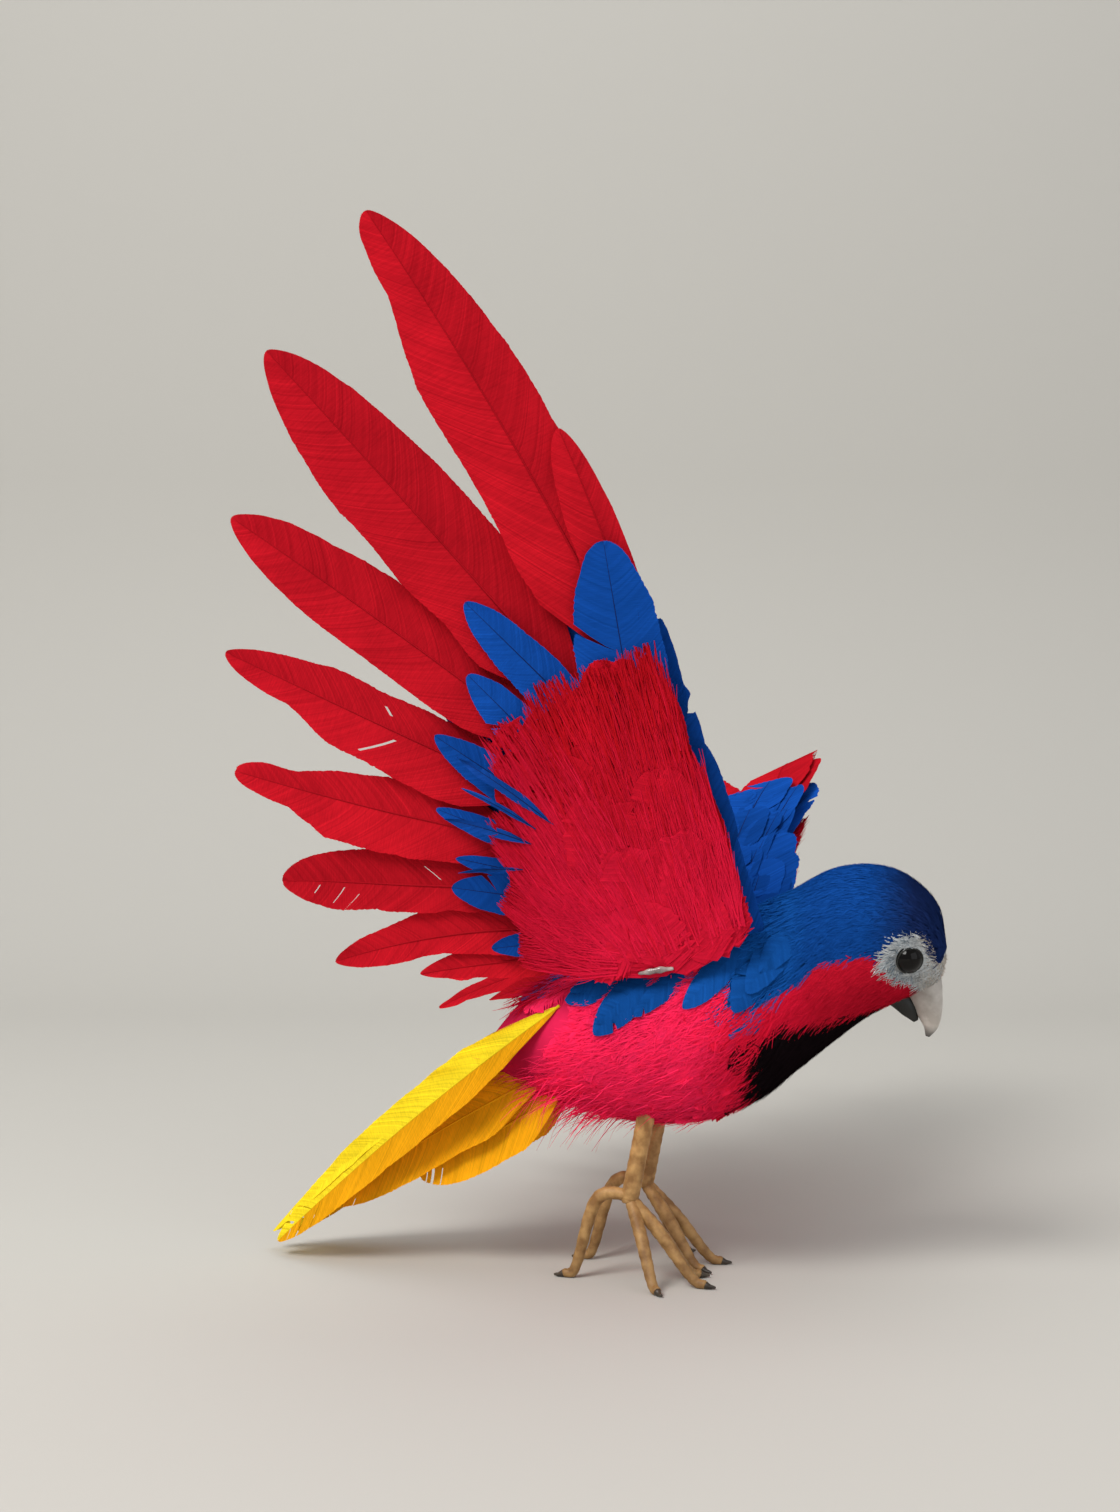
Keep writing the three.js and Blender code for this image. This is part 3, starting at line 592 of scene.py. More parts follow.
def build_wing(name):
    wing = WINGS[name]
    for i, (root, tip, lead, trail, bow) in enumerate(PRIMARIES):
        cloth = Cloth(f"{name}_primary_{i + 1}_vane", FEATHER, "red_feathers", [f"{name}_primary_{i + 1}"])
        length = math.dist(root, tip)
        tint = RED * rng.uniform(0.92, 1.08)
        wild = WEAR[i]
        # The leading half of each vane is darker than the trailing one: painted shade.
        feather(cloth, wing_warp(wing, root, tip, bow, 0.0, SHINGLE), length, lead, trail, tint, barb=0.4,
            segments=5, base=0.12, start=0.1, tip_form=TIP_FORMS[i], splits=0, ragged=0.018 + 0.012 * wild,
            ridge=0.02, wave=0.03 + 0.06 * wild, sway=0.9 * wild if i < 7 else 0,
            profile=PROFILES.get(i + 1), slits=SLITS.get((name, i + 1), ()), half_shades=(0.86, 1.0), shaft=0.36,
            shaft_tint=SHAFT_RED)
        cloth.make()

    cloth = Cloth(f"{name}_under_covert_vanes", FEATHER, "blue_feathers", [f"{name}_under_coverts"])
    for i, (root, tip, lead, trail) in enumerate(UNDER_COVERTS):
        feather(cloth, wing_warp(wing, root, tip, 0, 2.0 + 0.12 * (i % 3)), math.dist(root, tip), lead,
            trail, BLUE * rng.uniform(0.85, 1.15), barb=0.42, segments=3, base=0.8, start=0.02,
            tip_form=ROUNDED, splits=0.3, split_size=0.02, ragged=0.05, shaft=0.22, shaft_tint=DARK_BLUE)

    for root, tip, half in LOOSE:
        feather(cloth, wing_warp(wing, root, tip, 0.4, 5.0), math.dist(root, tip), half, half * 1.2,
            DARK_BLUE * 0.3 + BLUE * 0.8, barb=0.45, segments=2, base=0.3, start=0.0, tip_form=POINTED,
            splits=1, split_size=0.04, ragged=0.12, shaft=0.14, shaft_tint=DARK_BLUE)
    cloth.make()

    # Upper coverts: overlapping courses of blue feathers on the layer's outline.
    cloth = Cloth(f"{name}_upper_covert_vanes", FEATHER, "blue_feathers", [f"{name}_upper_coverts"])
    for course, (reach, level) in enumerate(COVERT_COURSES):
        for i, extra, start, end, lead, trail in doubled(UPPER_COVERTS):
            way = end - start
            end = start + way * reach * rng.uniform(0.95, 1.0)
            start = end - unit(way) * min(LONGEST_COVERT, np.linalg.norm(way) * reach)
            edge = 1.0 if course == 0 else 0.85
            front = 2.8 if name == "left" and course and i < 1 else 1
            feather(cloth, wing_warp(wing, start, end, 0, level + 0.18 * (i % 2) + 0.3 * extra),
                math.dist(start, end), lead * edge * (0.9 if not extra else 0.8) * front,
                trail * edge * 0.8,
                BLUE * rng.uniform(0.72, 1.12) if course else BLUE * rng.uniform(0.8, 1.1), barb=0.7,
                segments=2, base=0.7, start=0.02, splits=0.8, split_size=0.06, ragged=0.05, shaft=0.25,
                shaft_tint=DARK_BLUE, camber=0.4)
    cloth.make()

    # Lining: soft red feathers with loose barbs, in courses from the outer edge to the root.
    cloth = Cloth(f"{name}_lining_vanes", DOWN, "red_feathers", [f"{name}_wing_lining"])
    for course, (reach, level) in enumerate(LINING_COURSES):
        for i, extra, start, end, lead, trail in doubled(LINING):
            way = (end - start) * LINING_REACH[i]
            end = start + way * (reach * rng.uniform(0.93, 1.02))
            start = end - unit(way) * min(LONGEST_LINING, np.linalg.norm(way) * reach + 2)
            pinkness = rng.uniform(0.0, 0.25) + 0.14 * course
            feather(cloth, wing_warp(wing, start, end, 0, level + 0.2 * (i % 2)), math.dist(start, end),
                lead * 0.85, min(trail, LINING_WIDEST) * 0.85,
                LINING_RED * (1 - pinkness) + LINING_PINK * pinkness, barb=0.55, segments=3, base=0.7,
                start=0.02, tip_form=ROUNDED, splits=2.5, split_size=0.05, ragged=0.1, fluff=0.3, shaft=0,
                ridge=0.05)
    drawn_back = []
    for (root, tip, lead, trail), share in zip(LINING, LINING_REACH):
        end = np.array(root) + (np.array(tip) - np.array(root)) * share
        drawn_back.append((root, tuple(end), lead, trail))
    comb_wing(cloth, wing, drawn_back, LINING_BARBS, (5.6, 3.9), (5.0, 11.0), 0.34, (LINING_RED, LINING_PINK))
    cloth.make()


for wing_name in WINGS:
    build_wing(wing_name)

# Tail.


def tail_line(spec, side):
    """Root and tip of a tail feather on one side."""
    mirror = np.array([1, -side, 1])
    return np.array(spec["root"]) * mirror, np.array(spec["tip"]) * mirror


def tail_warp(spec, side):
    start, end = tail_line(spec, side)
    along = unit(end - start)
    angle = math.radians(side * spec["roll"])
    y = np.array([0, 1.0, 0])
    across = y * math.cos(angle) + np.cross(along, y) * math.sin(angle)
    across = across + along * along[1] * (1 - math.cos(angle))
    across = unit(across - along * (across @ along))
    face = np.cross(along, across)
    up = unit(np.array([along[2], 0, -along[0]]))

    def warp(t, a, h):
        rise = spec["bow"] * 4 * t * (1 - t)
        line = start + np.multiply.outer(t, end - start) + np.multiply.outer(rise, up)
        return line + np.multiply.outer(a, across) + np.multiply.outer(h, face)

    return warp, math.dist(start, end)


# Gaps between the worn barbs at the tail feathers' tips.
TAIL_SLITS = ((1, 0.87, 1, 0, 4), (1, 0.93, 2, 1, 4), (-1, 0.84, 1, 1, 4), (-1, 0.9, 2, 0, 4),
    (-1, 0.95, 1, 0, 4))


def build_tail(node, spec, side, tint, half_shades=(1.0, 1.0)):
    warp, length = tail_warp(spec, side)
    cloth = Cloth(f"{node}_vane", FEATHER, "yellow_feathers", [node])
    half = spec["width"] / 2
    feather(cloth, warp, length, half, half, tint, barb=0.42, segments=4, base=0.25, start=0.0,
        tip_form=ROUNDED, splits=0.3, split_size=0.02, ragged=0.035, shaft=0.34, shaft_tint=tint * 0.92,
        camber=-3.4 if spec is TAIL_TOP else 0.3, half_shades=half_shades, slits=TAIL_SLITS)
    cloth.make()


build_tail("tail_feather_top", TAIL_TOP, 1, YELLOW)
# The middle and lower feathers at the sides take the shaded yellow all over, and each upper one on its lower
# half: painted shade.
for word, spec in TAIL_SIDE.items():
    for side, hand in SIDES:
        tint = YELLOW if word == "upper" else SHADED_YELLOW * 1.15
        under = SHADED_YELLOW / YELLOW
        half_shades = ((1.0, under), (under, 1.0))[side > 0] if word == "upper" else (1.0, 1.0)
        build_tail(f"{hand}_tail_feather_{word}", spec, side, tint * rng.uniform(0.95, 1.05), half_shades)

# Body.

# Borders of the colours on the body: place along it, and degrees from the top.
BLUE_EDGE = np.array([(-18, 20), (-6, 34), (12, 44), (21, 60), (22.6, 81.5), (27.5, 90.6), (32.7, 91.3),
    (35.3, 88.3), (40.3, 92.3), (46.6, 101.5), (49, 104), (52, 106), (55, 118), (58, 130)])
BIB_EDGE = np.array([(24, 180), (25, 147), (25.2, 120), (26.7, 111), (29.6, 110.5), (35.7, 127.4),
    (42, 145.5), (47.4, 163), (49, 180)])
# The eye's place along the body, its degrees from the top, its height, its radius, and how far it stands out.
EYE_X, EYE_DEGREES, EYE_Z, EYE_RADIUS, EYE_PROUD = 51.6, 108.9, 64.6, 2.8, 1.5
# The radius of the ring round the eye, and half the ring's thickness.
LID_RADIUS, LID_HALF = 2.45, 0.24
# The pale cheek's upper and lower borders, in the same terms.
CHEEK_UPPER = ((47.6, 48.6, 50.4, 54.6, 57.5), (109, 98, 88, 82, 94))
CHEEK_LOWER = ((47.6, 48.4, 49.9, 53.1, 54, 57.5), (109, 118, 127, 138, 165, 175))
# The cheek's front border: degrees from the top, and the place along the body.
CHEEK_FRONT = ((76, 100, 118, 132), (55.2, 56.2, 56.8, 59))


def is_blue(x, degrees):
    return degrees < np.interp(x, BLUE_EDGE[:, 0], BLUE_EDGE[:, 1], left=0)


def eye_distance(x, degrees):
    """The square of the distance from the eye's middle, mm."""
    return (x - EYE_X) ** 2 + ((degrees - EYE_DEGREES) * 0.2) ** 2


def body_tint(x, angle, jitter=0.0):
    """Colour of the feathers at a place on the body, with ragged borders and painted shade on the underside
    under the tail.
    """
    degrees = np.degrees(np.abs(angle)) + jitter
    blue = is_blue(x, degrees)
    bib = degrees > np.interp(x, BIB_EDGE[:, 0], BIB_EDGE[:, 1], left=400, right=400)
    bib &= (x > 20) & (x < 49)
    pink = np.clip((25 - x) / 9, 0, 1)
    cheek = np.clip((x - 30) / 8, 0, 1)
    # The colour darkens towards the tail end; the underside under the tail is darker still, painted shade.
    rump = np.clip((-14 - x) / 8, 0, 1)
    lower = np.clip((degrees - 125) / 30, 0, 1) * np.clip((-18 - x) / 8, 0, 1)
    tint = BREAST_RED * (1 - pink)[:, None] + PINK * pink[:, None]
    tint = tint * (1 - cheek)[:, None] + CHEEK_RED * cheek[:, None]
    tint = tint * (1 - 0.35 * rump)[:, None]
    tint = tint * (1 - 0.5 * lower)[:, None]
    back = np.clip((36 - x) / 12, 0, 1)[:, None]
    brow = np.clip((x - 46.5) / 7, 0, 1)[:, None]
    hood = (HEAD_BLUE * (1 - back) + NAPE_BLUE * back) * (1 - brow) + BROW_BLUE * brow
    tint = np.where(blue[:, None], hood, tint)
    tint = np.where(bib[:, None], BLACK, tint)
    patch = (x > CHEEK_UPPER[0][0]) & (x < np.interp(degrees, *CHEEK_FRONT))
    patch &= (degrees > np.interp(x, *CHEEK_UPPER)) & (degrees < np.interp(x, *CHEEK_LOWER))
    return np.where(patch[:, None], WHITE_DOWN * 0.7, tint)


def on_tail(x, angle):
    """Whether places on the body lie over one of the two bright feathers at the tail's sides."""
    points = body_point(x, angle, 0)
    spec = TAIL_SIDE["upper"]
    near = np.zeros(len(points), bool)
    for side in (-1, 1):
        start, end = tail_line(spec, side)
        start = start + (1.5, 0, 1.2)
        along = unit(end - start)
        t = (points - start) @ along
        away = np.linalg.norm(points - start - np.multiply.outer(t, along), axis=1)
        near |= (t > -1.5) & (away < 3.1 + 0.2 * np.maximum(t, 0))
    return near


def body_skin():
    along, round_ = 150, 140
    xs = np.interp(np.linspace(0, 1, along), [0, 0.06, 0.94, 1], [-35.5, -33, 56.5, 58])
    angles = np.linspace(0, 2 * math.pi, round_, endpoint=False)
    x, angle = (v.reshape(-1) for v in np.meshgrid(xs, angles, indexing="ij"))
    points = body_point(x, angle, -0.25)
    wrapped = (angle + math.pi) % (2 * math.pi) - math.pi
    tint = body_tint(x, wrapped) * 0.9
    index, quads = ring_faces(along, round_)
    cloth = Cloth("body_skin", DOWN, "body_feathers", ["body"])
    uv = np.stack([angle / (2 * math.pi), (x + 36) / 95], 1)
    cloth.add(points, quads, uv, opaque(tint))
    for end, ring in ((xs[0], index[0]), (xs[-1], index[-1])):
        middle = body_point(np.array([end]), 0.0, 0)[0]
        middle[2] = body_point(np.array([end]), math.pi / 2, 0)[0][2]
        middle[0] += 0.4 if end > 0 else -0.4
        base = cloth.count
        cloth.add(middle[None], np.zeros((0, 4), int), np.zeros((1, 2)), np.append(tint[ring[0]], 1)[None])
        fan = np.stack([ring, np.roll(ring, -1), np.full(len(ring), base), np.full(len(ring), base)], 1)
        cloth.faces.append(fan)
    return cloth


# Behind this place the top of the body is left to the tail's feathers.
RUMP_FRONT = -16
# Small feathers: where they hang free behind, how far forward they go, their distance in a row and the
# distance between rows.
PLUMAGE_BACK, PLUMAGE_FRONT, FEATHER_PITCH, ROW_PITCH = -35.4, 30, 3.9, 2.9


def plumage():
    """Small feathers over the body, from the tail end forwards."""
    cloth = Cloth("body_plumage", DOWN, "body_feathers")
    spots = []
    x, row = -33.0, 0
    while x < PLUMAGE_FRONT:
        top, base, half = body_size(x)
        around = 2 * math.pi * math.sqrt((half**2 + ((top - base) / 2) ** 2) / 2)
        count = max(5, int(around / FEATHER_PITCH))
        for k in range(count):
            angle = 2 * math.pi * (k + 0.5 * (row % 2)) / count + rng.normal() * 0.03
            angle = (angle + math.pi) % (2 * math.pi) - math.pi
            spots.append((x + rng.normal() * 0.4, angle))
        x += ROW_PITCH
        row += 1
    for x, angle in spots:
        degrees = abs(math.degrees(angle))
        length, width = (10.5 if degrees > 110 and x < 14 else 9.5), 2.9
        tint = body_tint(np.array([x]), np.array([angle]), rng.normal() * 1.2)[0] * rng.uniform(0.86, 1.14)
        on_rump = x < RUMP_FRONT and degrees < 50
        if on_rump or on_tail(np.array([x, x - 4, x - 8]), np.full(3, angle)).any():
            continue
        lift = rng.uniform(0.2, 0.5)
        top, base, _ = body_size(x)
        around = max(math.hypot(*(body_point(np.array([x]), angle)[0][1:] - (0, (top + base) / 2))), 3.0)
        yaw = rng.normal() * 0.16 + 0.25 * math.sin(angle)

        def warp(t, a, h, x=x, angle=angle, length=length, lift=lift, around=around, yaw=yaw):
            back = t * length
            px = x - back * math.cos(yaw) + a * math.sin(yaw)
            pa = angle + (a * math.cos(yaw) + back * math.sin(yaw)) / around
            rise = 0.15 + lift * t**0.9 + h
            points = body_point(np.maximum(px, PLUMAGE_BACK), pa, 0)
            points = points + body_normal(np.clip(px, -35, 57.5), pa) * rise[:, None]
            return points + np.array([-1.0, 0, 0]) * np.maximum(0, PLUMAGE_BACK - px)[:, None]

        feather(cloth, warp, length, width, width, tint, barb=0.65, segments=2, base=0.6, start=0.0,
            tip_form=ROUNDED, splits=1.5, split_size=0.08, ragged=0.2, ridge=0.03, shaft=0, camber=0.3)
    return cloth


body_skin().make()
plumage().make()


def coat(name, low, high, count, lengths, width, lift):
    """Fine barbs laid back all over the body between two places along it."""
    cloth = Cloth(name, DOWN, "body_feathers")
    x = rng.uniform(low, high, count)
    x = x[rng.random(count) < body_size(x)[2] / BODY[:, 3].max()]
    angle = rng.uniform(-math.pi, math.pi, len(x))
    bare = (x < RUMP_FRONT) & (np.abs(angle) < 0.9)
    bare |= on_tail(x, angle) | on_tail(x - 3, angle) | on_tail(x - 6, angle)
    x, angle = x[~bare], angle[~bare]
    degrees = np.degrees(np.abs(angle))
    cheek_down = np.clip((x - 40) / 10, 0, 1)
    yaw = np.sign(angle) * (0.3 * np.sin(np.abs(angle)) * (1 - cheek_down)) + rng.normal(size=len(x)) * 0.12
    length = rng.uniform(*lengths, len(x)) * np.interp(x, [44, 57], [1, 0.45])
    blue = is_blue(x, degrees)
    length = np.where(blue & (x < 34), length * 0.7, length)
    yaw = np.where(blue, yaw * 0.4, yaw)
    tints = body_tint(x, angle, rng.normal(size=len(x)) * 0.8) * rng.uniform(0.88, 1.12, (len(x), 1))
    keep = eye_distance(x, degrees) >= 8
    comb_body(cloth, x[keep], angle[keep], length[keep], width, yaw[keep], rng.uniform(*lift, keep.sum()),
        tints[keep])
    cloth.make()


coat("hood_coat", 28, 58, COAT_BARBS, (2.6, 4.4), 0.42, (0.1, 0.45))
coat("body_coat", -35, 31, COAT_BARBS, (4.0, 8.5), 0.4, (0.3, 1.0))

# Wisps of loose down on the belly, the breast and the rump.
fluff = Cloth("body_wisps", DOWN, "body_feathers")


def scatter(count, places, degrees):
    """Random places along the body and angles on both its sides."""
    x = rng.uniform(*places, count)
    return x, np.radians(rng.uniform(*degrees, count)) * np.where(rng.random(count) < 0.5, 1, -1)


def tuft(places, degrees, height, fall, spread, tint, lengths, width, bend):
    """A tuft of loose barbs that point back and fall by a share of their length."""
    count = 420
    roots = body_point(*scatter(count, places, degrees), height)
    ways = np.array([-1.0, 0, -fall]) + rng.normal(size=(count, 3)) * spread
    tints = np.tile(tint, (count, 1)) * rng.uniform(0.8, 1.2, (count, 1))
    strands(fluff, roots, ways, rng.uniform(*lengths, count), tints, width, bend)


x, angle = scatter(600, (-34, 12), (95, 180))
tints = body_tint(x, angle, rng.normal(size=len(x)) * 3) * rng.uniform(0.85, 1.2, (len(x), 1))
ways = body_normal(x, angle) * rng.uniform(0.02, 0.25, (len(x), 1)) + np.array([-1.0, 0, -0.3])
ways = ways + rng.normal(size=(len(x), 3)) * 0.15
strands(fluff, body_point(x, angle, 0.8), ways, rng.uniform(2, 4.5, len(x)), tints, width=0.17, bend=0.1)
# Under the tail end of the belly, behind the legs, and in red between the rump and the tail.
tuft((-24, -6), (120, 180), 0.5, 0.45, 0.3, PINK, (4, 9.5), 0.24, 0.2)
tuft((-24, -12), (0, 42), 0.3, 0.5, 0.1, TUFT_RED, (4, 8), 0.4, 0.1)
fluff.make()

# Mantle.


def mantle_warp(start, end, side, low, high, hidden):
    """Places of a feather on the body's side that rises from low to high mm over the body towards its tip;
    low lasts for the hidden share of its length."""
    around = (body_size(start[0])[2] + body_size(end[0])[2]) / 2
    run = unit(np.array([end[0] - start[0], math.radians(end[1] - start[1]) * around]))

    def warp(t, a, h):
        x = start[0] + (end[0] - start[0]) * t + a * run[1]
        angle = np.radians(start[1] + (end[1] - start[1]) * t) - a * run[0] / around
        rise = low + (high - low) * np.clip((t - hidden) / 0.35, 0, 1) + h
        return body_point(x, side * angle, 0) + body_normal(x, side * angle) * rise[:, None]

    return warp, around


# How many feathers lie on each other at each place of the mantle.
MANTLE_LAYERS = (3, 1, 1, 2, 2)
for side, hand in SIDES:
    cloth = Cloth(f"{hand}_mantle_vanes", FEATHER, "blue_feathers", [f"{hand}_mantle"])
    for i, (start, end, width) in enumerate(MANTLE):
        for k in range(MANTLE_LAYERS[i]):
            # A narrower feather lies over each broad one.
            first = (start[0] + 0.8 * k, start[1] + 4 * k)
            last = (end[0] + (2.4 * k if i == 0 else 0.9 * k), end[1] - 7 * k)
            low, hidden = (-0.9, 0.38) if i == 0 else (0.3, 0.1)
            warp, around = mantle_warp(first, last, side, low, 1.25 + 0.25 * k + 0.1 * (i % 2), hidden)
            length = math.hypot(last[0] - first[0], math.radians(last[1] - first[1]) * around)
            feather(cloth, warp, length, width * (0.5 - 0.08 * k), width * (0.5 - 0.08 * k),
                (HEAD_BLUE + NAPE_BLUE) * 0.5 * rng.uniform(0.85, 1.2), barb=0.4, segments=3, base=0.45,
                start=0.0, tip_form=POINTED, splits=0.2, split_size=0.02, ragged=0.08, ridge=0.03, shaft=0,
                camber=0.5)
    cloth.make()

# Eyes, cheek patches and bill.


def ball(name, centre, radius, material, slot, replaced):
    cloth = Cloth(name, material, slot, replaced)
    rows, cols = 20, 32
    lat = np.linspace(-math.pi / 2 + 0.02, math.pi / 2 - 0.02, rows)
    lon = np.linspace(0, 2 * math.pi, cols, endpoint=False)
    la, lo = (v.reshape(-1) for v in np.meshgrid(lat, lon, indexing="ij"))
    points = np.stack([np.cos(la) * np.cos(lo), np.cos(la) * np.sin(lo), np.sin(la)], 1) * radius
    index, quads = ring_faces(rows, cols)
    cloth.add(points + centre, quads, np.stack([lo / 6.3, la / 3.2 + 0.5], 1), np.ones(4))
    cloth.faces += [cap_faces(index[0][::-1]), cap_faces(index[-1])]
    return cloth


def cap_faces(ring):
    """Triangles that close a ring of points."""
    return np.stack([np.full(len(ring) - 2, ring[0]), ring[1:-1], ring[2:], ring[2:]], 1)


top, base, _ = body_size(EYE_X)
EYE_ANGLE = math.acos((EYE_Z - (top + base) / 2) / ((top - base) / 2))


def tube(cloth, centres, wide, thick=None, sides=14, tint=1.0, face=(0, 1, 0)):
    """A closed tube through centres, mm, with its half widths along face and half depths across it."""
    centres = np.asarray(centres, float)
    thick = wide if thick is None else thick
    run = unit(np.gradient(centres, axis=0))
    face = np.asarray(face, float)
    a = unit(face - run * (run @ face)[:, None])
    b = np.cross(run, a)
    ring = np.linspace(0, 2 * math.pi, sides, endpoint=False)
    n = len(centres)
    sideways = a[:, None] * (np.asarray(wide)[:, None] * np.cos(ring))[..., None]
    upwards = b[:, None] * (np.asarray(thick)[:, None] * np.sin(ring))[..., None]
    points = (centres[:, None] + sideways + upwards).reshape(-1, 3)
    index, quads = ring_faces(n, sides)
    uv = np.stack([np.tile(ring / 6.29, n), np.repeat(np.linspace(0, 1, n), sides)], 1)
    shade = np.repeat(np.broadcast_to(tint, n), sides)[:, None] * np.ones(3)
    faces = np.concatenate([quads, cap_faces(index[0][::-1]), cap_faces(index[-1])])
    cloth.add(points, faces, uv, opaque(shade))


def smooth_path(knots, steps):
    """Catmull-Rom curve through the knots; each row may hold more values than a place."""
    knots = np.asarray(knots, float)
    padded = np.concatenate([[2 * knots[0] - knots[1]], knots, [2 * knots[-1] - knots[-2]]])
    out = []
    for i in range(len(knots) - 1):
        p0, p1, p2, p3 = padded[i : i + 4]
        for t in np.linspace(0, 1, steps, endpoint=False):
            curve = 2 * p1 + (p2 - p0) * t + (2 * p0 - 5 * p1 + 4 * p2 - p3) * t**2
            out.append(0.5 * (curve + (3 * p1 - p0 - 3 * p2 + p3) * t**3))
    return np.array([*out, knots[-1]])


for side, hand in SIDES:
    centre = body_point(np.array([EYE_X]), side * EYE_ANGLE, EYE_PROUD - EYE_RADIUS)[0]
    ball(f"{hand}_eye_bead", centre, EYE_RADIUS, EYE, "eye", [f"{hand}_eye"]).make()
    # The ring of bare skin round the bead.
    normal = body_normal(np.array([EYE_X]), side * EYE_ANGLE)[0]
    u = unit(np.cross(normal, (0, 0, 1.0)))
    v = np.cross(normal, u)
    ring = np.linspace(0, 2 * math.pi, 40)
    lid = Cloth(f"{hand}_eye_ring", DARK_BILL, "eye")
    path = centre + normal * 1.2 + (np.outer(np.cos(ring), u) + np.outer(np.sin(ring), v)) * LID_RADIUS
    tube(lid, path, np.full(40, LID_HALF), sides=8, face=normal)
    lid.make()
    # Pale short down on the cheek, running forward and down from the eye to the bill.
    patch = Cloth(f"{hand}_cheek_down", DOWN, "body_feathers")
    x = rng.uniform(45.2, 58, CHEEK_BARBS)
    degrees = rng.uniform(66, 176, CHEEK_BARBS)
    keep = degrees > np.interp(x, *CHEEK_UPPER) + rng.normal(size=CHEEK_BARBS) * 2
    keep &= degrees < np.interp(x, *CHEEK_LOWER) + rng.normal(size=CHEEK_BARBS) * 3
    keep &= x < np.interp(degrees, *CHEEK_FRONT)
    x, degrees = x[keep], degrees[keep]
    angle = np.radians(degrees) * side
    roots = body_point(x, angle, 0.0)
    normals = body_normal(x, angle)
    away = roots - (centre + normal * 0.5)
    far = np.linalg.norm(away, axis=1, keepdims=True)
    ways = normals * 0.25 + away / np.maximum(far, 0.5) * 0.8
    ways = ways + rng.normal(size=(len(x), 3)) * 0.2 + (-0.1, 0, -0.4)
    fore = np.clip((x - EYE_X - 0.4) / 2.4, 0, 1)[:, None]
    grey = np.clip(1.75 - far / 3.9 + rng.normal(size=far.shape) * 0.35, 0, 1)
    tints = (WHITE_DOWN * (1 - grey) + GREY_DOWN * grey) * (1 - fore) + BEIGE_DOWN * fore
    clear = far[:, 0] > 2.9
    lengths = rng.uniform(0.8, 1.7, clear.sum()) * (1 - 0.55 * fore[clear, 0])
    strands(patch, roots[clear], ways[clear], lengths, tints[clear], width=0.2, bend=0.1)
    patch.make()

# The upper bill from its root to its hook: place along, height, half depth and half width.
sections = smooth_path([(52.4, 63, 3, 2.8), (53.8, 60.4, 3.4, 2.9), (54.2, 57.6, 3.4, 2.7),
    (55, 54.2, 2.6, 2.1), (55.3, 51.4, 1.6, 1.3), (54.7, 49.1, 0.4, 0.35)], 9)
bill = Cloth("upper_bill_horn", BILL, "bill", ["upper_bill"])
# Shares of the bill's length and its tint: darker at the root and at the hook, with a painted highlight on
# its lower part.
horn_tones_and_highlight = ([0, 0.3, 0.55, 0.8, 0.93, 1], [0.7, 0.8, 1.05, 1.35, 0.4, 0.12])
horn_tint_and_highlight = np.interp(np.linspace(0, 1, len(sections)), *horn_tones_and_highlight)
horn_line = np.stack([sections[:, 0], np.zeros(len(sections)), sections[:, 1]], 1)
tube(bill, horn_line, sections[:, 3], sections[:, 2], sides=28, tint=horn_tint_and_highlight)
bill.make()
lower = smooth_path([(47.4, 58, 2.4), (49.8, 56, 2.2), (51.4, 54, 1.7), (52.5, 52, 0.5)], 8)
jaw = Cloth("lower_bill_horn", DARK_BILL, "lower_bill", ["lower_bill"])
jaw_line = np.stack([lower[:, 0], np.zeros(len(lower)), lower[:, 1]], 1)
tube(jaw, jaw_line, lower[:, 2] * 1.1, lower[:, 2], sides=24, tint=0.35)
jaw.make()

# Legs.

# Half the distance between the legs, and the ankle's place along and its height.
LEG_Y, ANKLE_X, ANKLE_Z = 7.5, -2.4, 17
# Toes: reach, bearing in degrees, and the knee's share of the reach and of the ankle's height.
TOES = [(15.5, -8, 0.42, 0.56), (14, 24, 0.42, 0.56), (11.5, -52, 0.4, 0.58), (13.5, 180, 0.5, 0.93)]
for side, hand in SIDES:
    y = side * LEG_Y
    leg = Cloth(f"{hand}_leg_skin", LEG, "leg", [f"{hand}_leg"])
    shank = smooth_path([(1.6, y, 37, 1.85), (-0.6, y, 26, 1.72), (-2.4, y, 17, 1.75),
        (-2.6, y, 15.4, 1.2)], 16)
    bumps = 1 + 0.03 * np.sin(np.arange(len(shank)) * 1.9)
    # The leg is darker towards the foot: painted shade.
    tube(leg, shank[:, :3], shank[:, 3] * bumps, sides=18,
        tint=np.interp(shank[:, 2], [15, 37], [0.75, 1.0]))
    claws = Cloth(f"{hand}_claws", CLAW, "leg")
    for reach, turn, knee, knee_z in TOES:
        bearing = math.radians(turn if side < 0 else -turn)
        out = np.array([math.cos(bearing), math.sin(bearing)])
        stages = ((-0.6 / reach, ANKLE_Z, 1.2), (knee, ANKLE_Z * knee_z, 1.3), (0.85, 1.45, 1.0),
            ((reach + 2) / reach, 0.45, 0.62))
        knots = []
        for share, z, radius in stages:
            knots.append((ANKLE_X + out[0] * reach * share, y + out[1] * reach * share, z, radius))
        path = smooth_path(knots, 14)
        cut = len(path) - 8
        wave = 1 + 0.05 * np.sin(np.arange(cut + 1) * 2.1)
        skin = path[: cut + 1]
        # No part of a toe goes below the floor.
        skin[:, 2] = np.maximum(skin[:, 2], skin[:, 3] * wave)
        # The toes are darker towards the floor: painted shade.
        shade = np.interp(skin[:, 2], [2, 17], [0.6, 0.8])
        tube(leg, skin[:, :3], skin[:, 3] * wave, sides=14, tint=shade, face=(0, 0, 1))
        tip = path[cut:]
        narrowed = tip[:, 3] * np.linspace(0.95, 0.35, len(tip))
        tip[:, 2] = np.maximum(tip[:, 2], narrowed)
        tube(claws, tip[:, :3], narrowed, sides=12, face=(0, 0, 1))
    leg.make()
    claws.make()

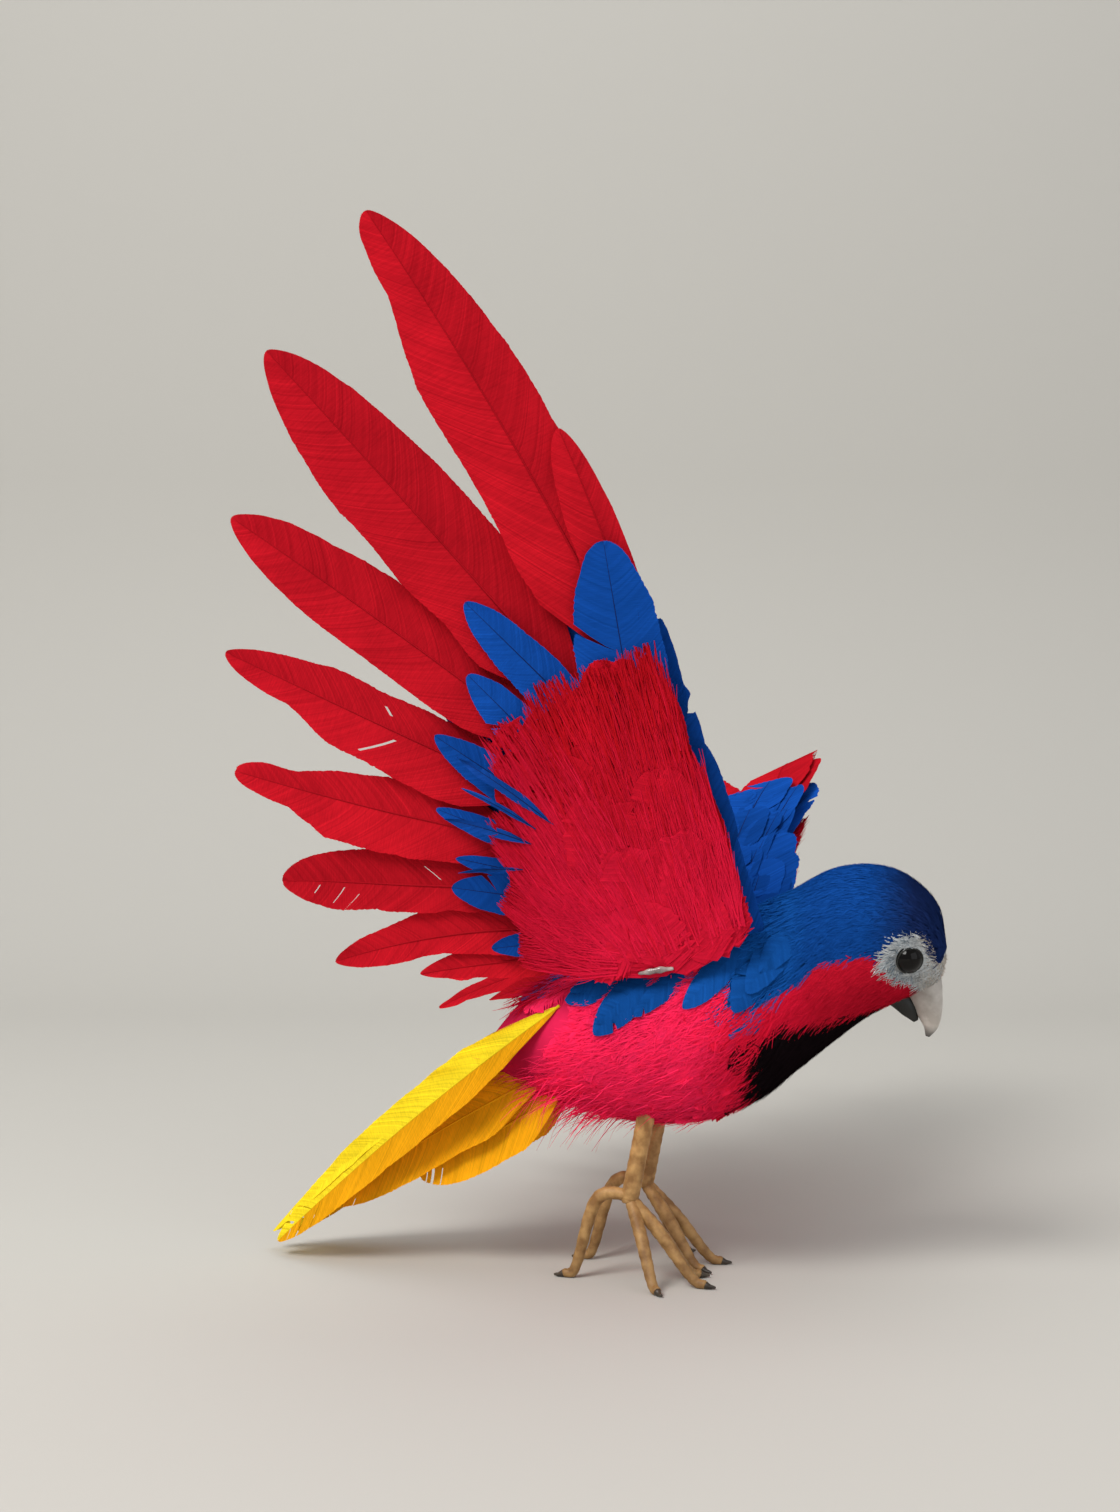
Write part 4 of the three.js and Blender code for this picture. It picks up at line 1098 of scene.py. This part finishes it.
# A bead of dried glue where the right wing meets the body.
glue = Cloth("right_wing_glue", GLUE)
bead = smooth_path([(1.6, -18.9, 61.8, 0.2), (3.4, -19.5, 62.2, 0.5), (6, -19.5, 62.7, 0.6),
    (8.4, -19.1, 63, 0.25)], 10)
lumps = 1 + 0.12 * np.sin(np.arange(len(bead)) * 0.7)
tube(glue, bead[:, :3], bead[:, 3] * lumps, bead[:, 3] * 0.8 * lumps, sides=16, face=(0, 0, 1))
glue.make()

# Floor, light and camera.


def backdrop_material(name, colour, roughness):
    """A plain surface that is clear when looked at from behind, so that the back of the bird can be seen."""
    material, tree, shader = nodes_of(name)
    shader.inputs["Base Color"].default_value = (*colour, 1)
    shader.inputs["Roughness"].default_value = roughness
    facing = tree.nodes.new("ShaderNodeNewGeometry")
    clear = tree.nodes.new("ShaderNodeBsdfTransparent")
    mix_surface(tree, facing.outputs["Backfacing"], shader, clear)
    return material


floor_mesh = bpy.data.meshes.new("floor")
# The line of the backdrop, metres: flat floor, a quarter circle and the wall.
line, steps = [(-1.6, 0)], 14
for k in range(steps + 1):
    turn = math.pi / 2 * k / steps
    line.append((0.35 + 0.25 * math.sin(turn), 0.25 * (1 - math.cos(turn))))
line.append((0.6, 2.5))
verts = [(x, y, z) for y, z in line for x in (-2, 2)]
quads = [(2 * k, 2 * k + 1, 2 * k + 3, 2 * k + 2) for k in range(len(line) - 1)]
floor_mesh.from_pydata(verts, [], quads)
floor_mesh.shade_smooth()
floor_mesh.materials.append(backdrop_material("pale_floor", linear(189, 187, 181), 0.9))
floor = bpy.data.objects.new("floor", floor_mesh)
bpy.context.collection.objects.link(floor)
floor.rotation_euler = (0, 0, VIEW_TURN)


def area_light(name, place, target, power, size, colour=(1, 1, 1)):
    data = bpy.data.lights.new(name, "AREA")
    data.energy, data.size, data.color = power, size, colour
    lamp = bpy.data.objects.new(name, data)
    lamp.location = place
    lamp.rotation_euler = (Vector(target) - Vector(place)).to_track_quat("-Z", "Y").to_euler()
    bpy.context.collection.objects.link(lamp)


middle = (0.0, float(ORIGIN[1]), 0.09)
area_light("key", (-0.35, -0.75, 0.85), middle, 9.8, 0.45, (1.0, 0.98, 0.95))
area_light("fill", (0.85, -0.6, 0.35), middle, 2.2, 0.9, (0.96, 0.98, 1.0))
area_light("top", (0.0, 0.1, 1.0), middle, 3.2, 0.9)
world = bpy.data.worlds.new("even_light")
bpy.context.scene.world = world
world.use_nodes = True
world.node_tree.nodes["Background"].inputs["Color"].default_value = (*linear(222, 222, 224), 1)
world.node_tree.nodes["Background"].inputs["Strength"].default_value = 0.61

lens = bpy.data.cameras.new("camera")
lens.lens = 47.62
lens.sensor_width = 36
lens.clip_start, lens.clip_end = 0.01, 10
camera = bpy.data.objects.new("camera", lens)
camera.location = (np.array(CAMERA_PLACE) * MM + ORIGIN).tolist()
camera.rotation_euler = (math.radians(90), 0, VIEW_TURN)
bpy.context.collection.objects.link(camera)
bpy.context.scene.camera = camera
bpy.context.scene.view_settings.view_transform = "Standard"
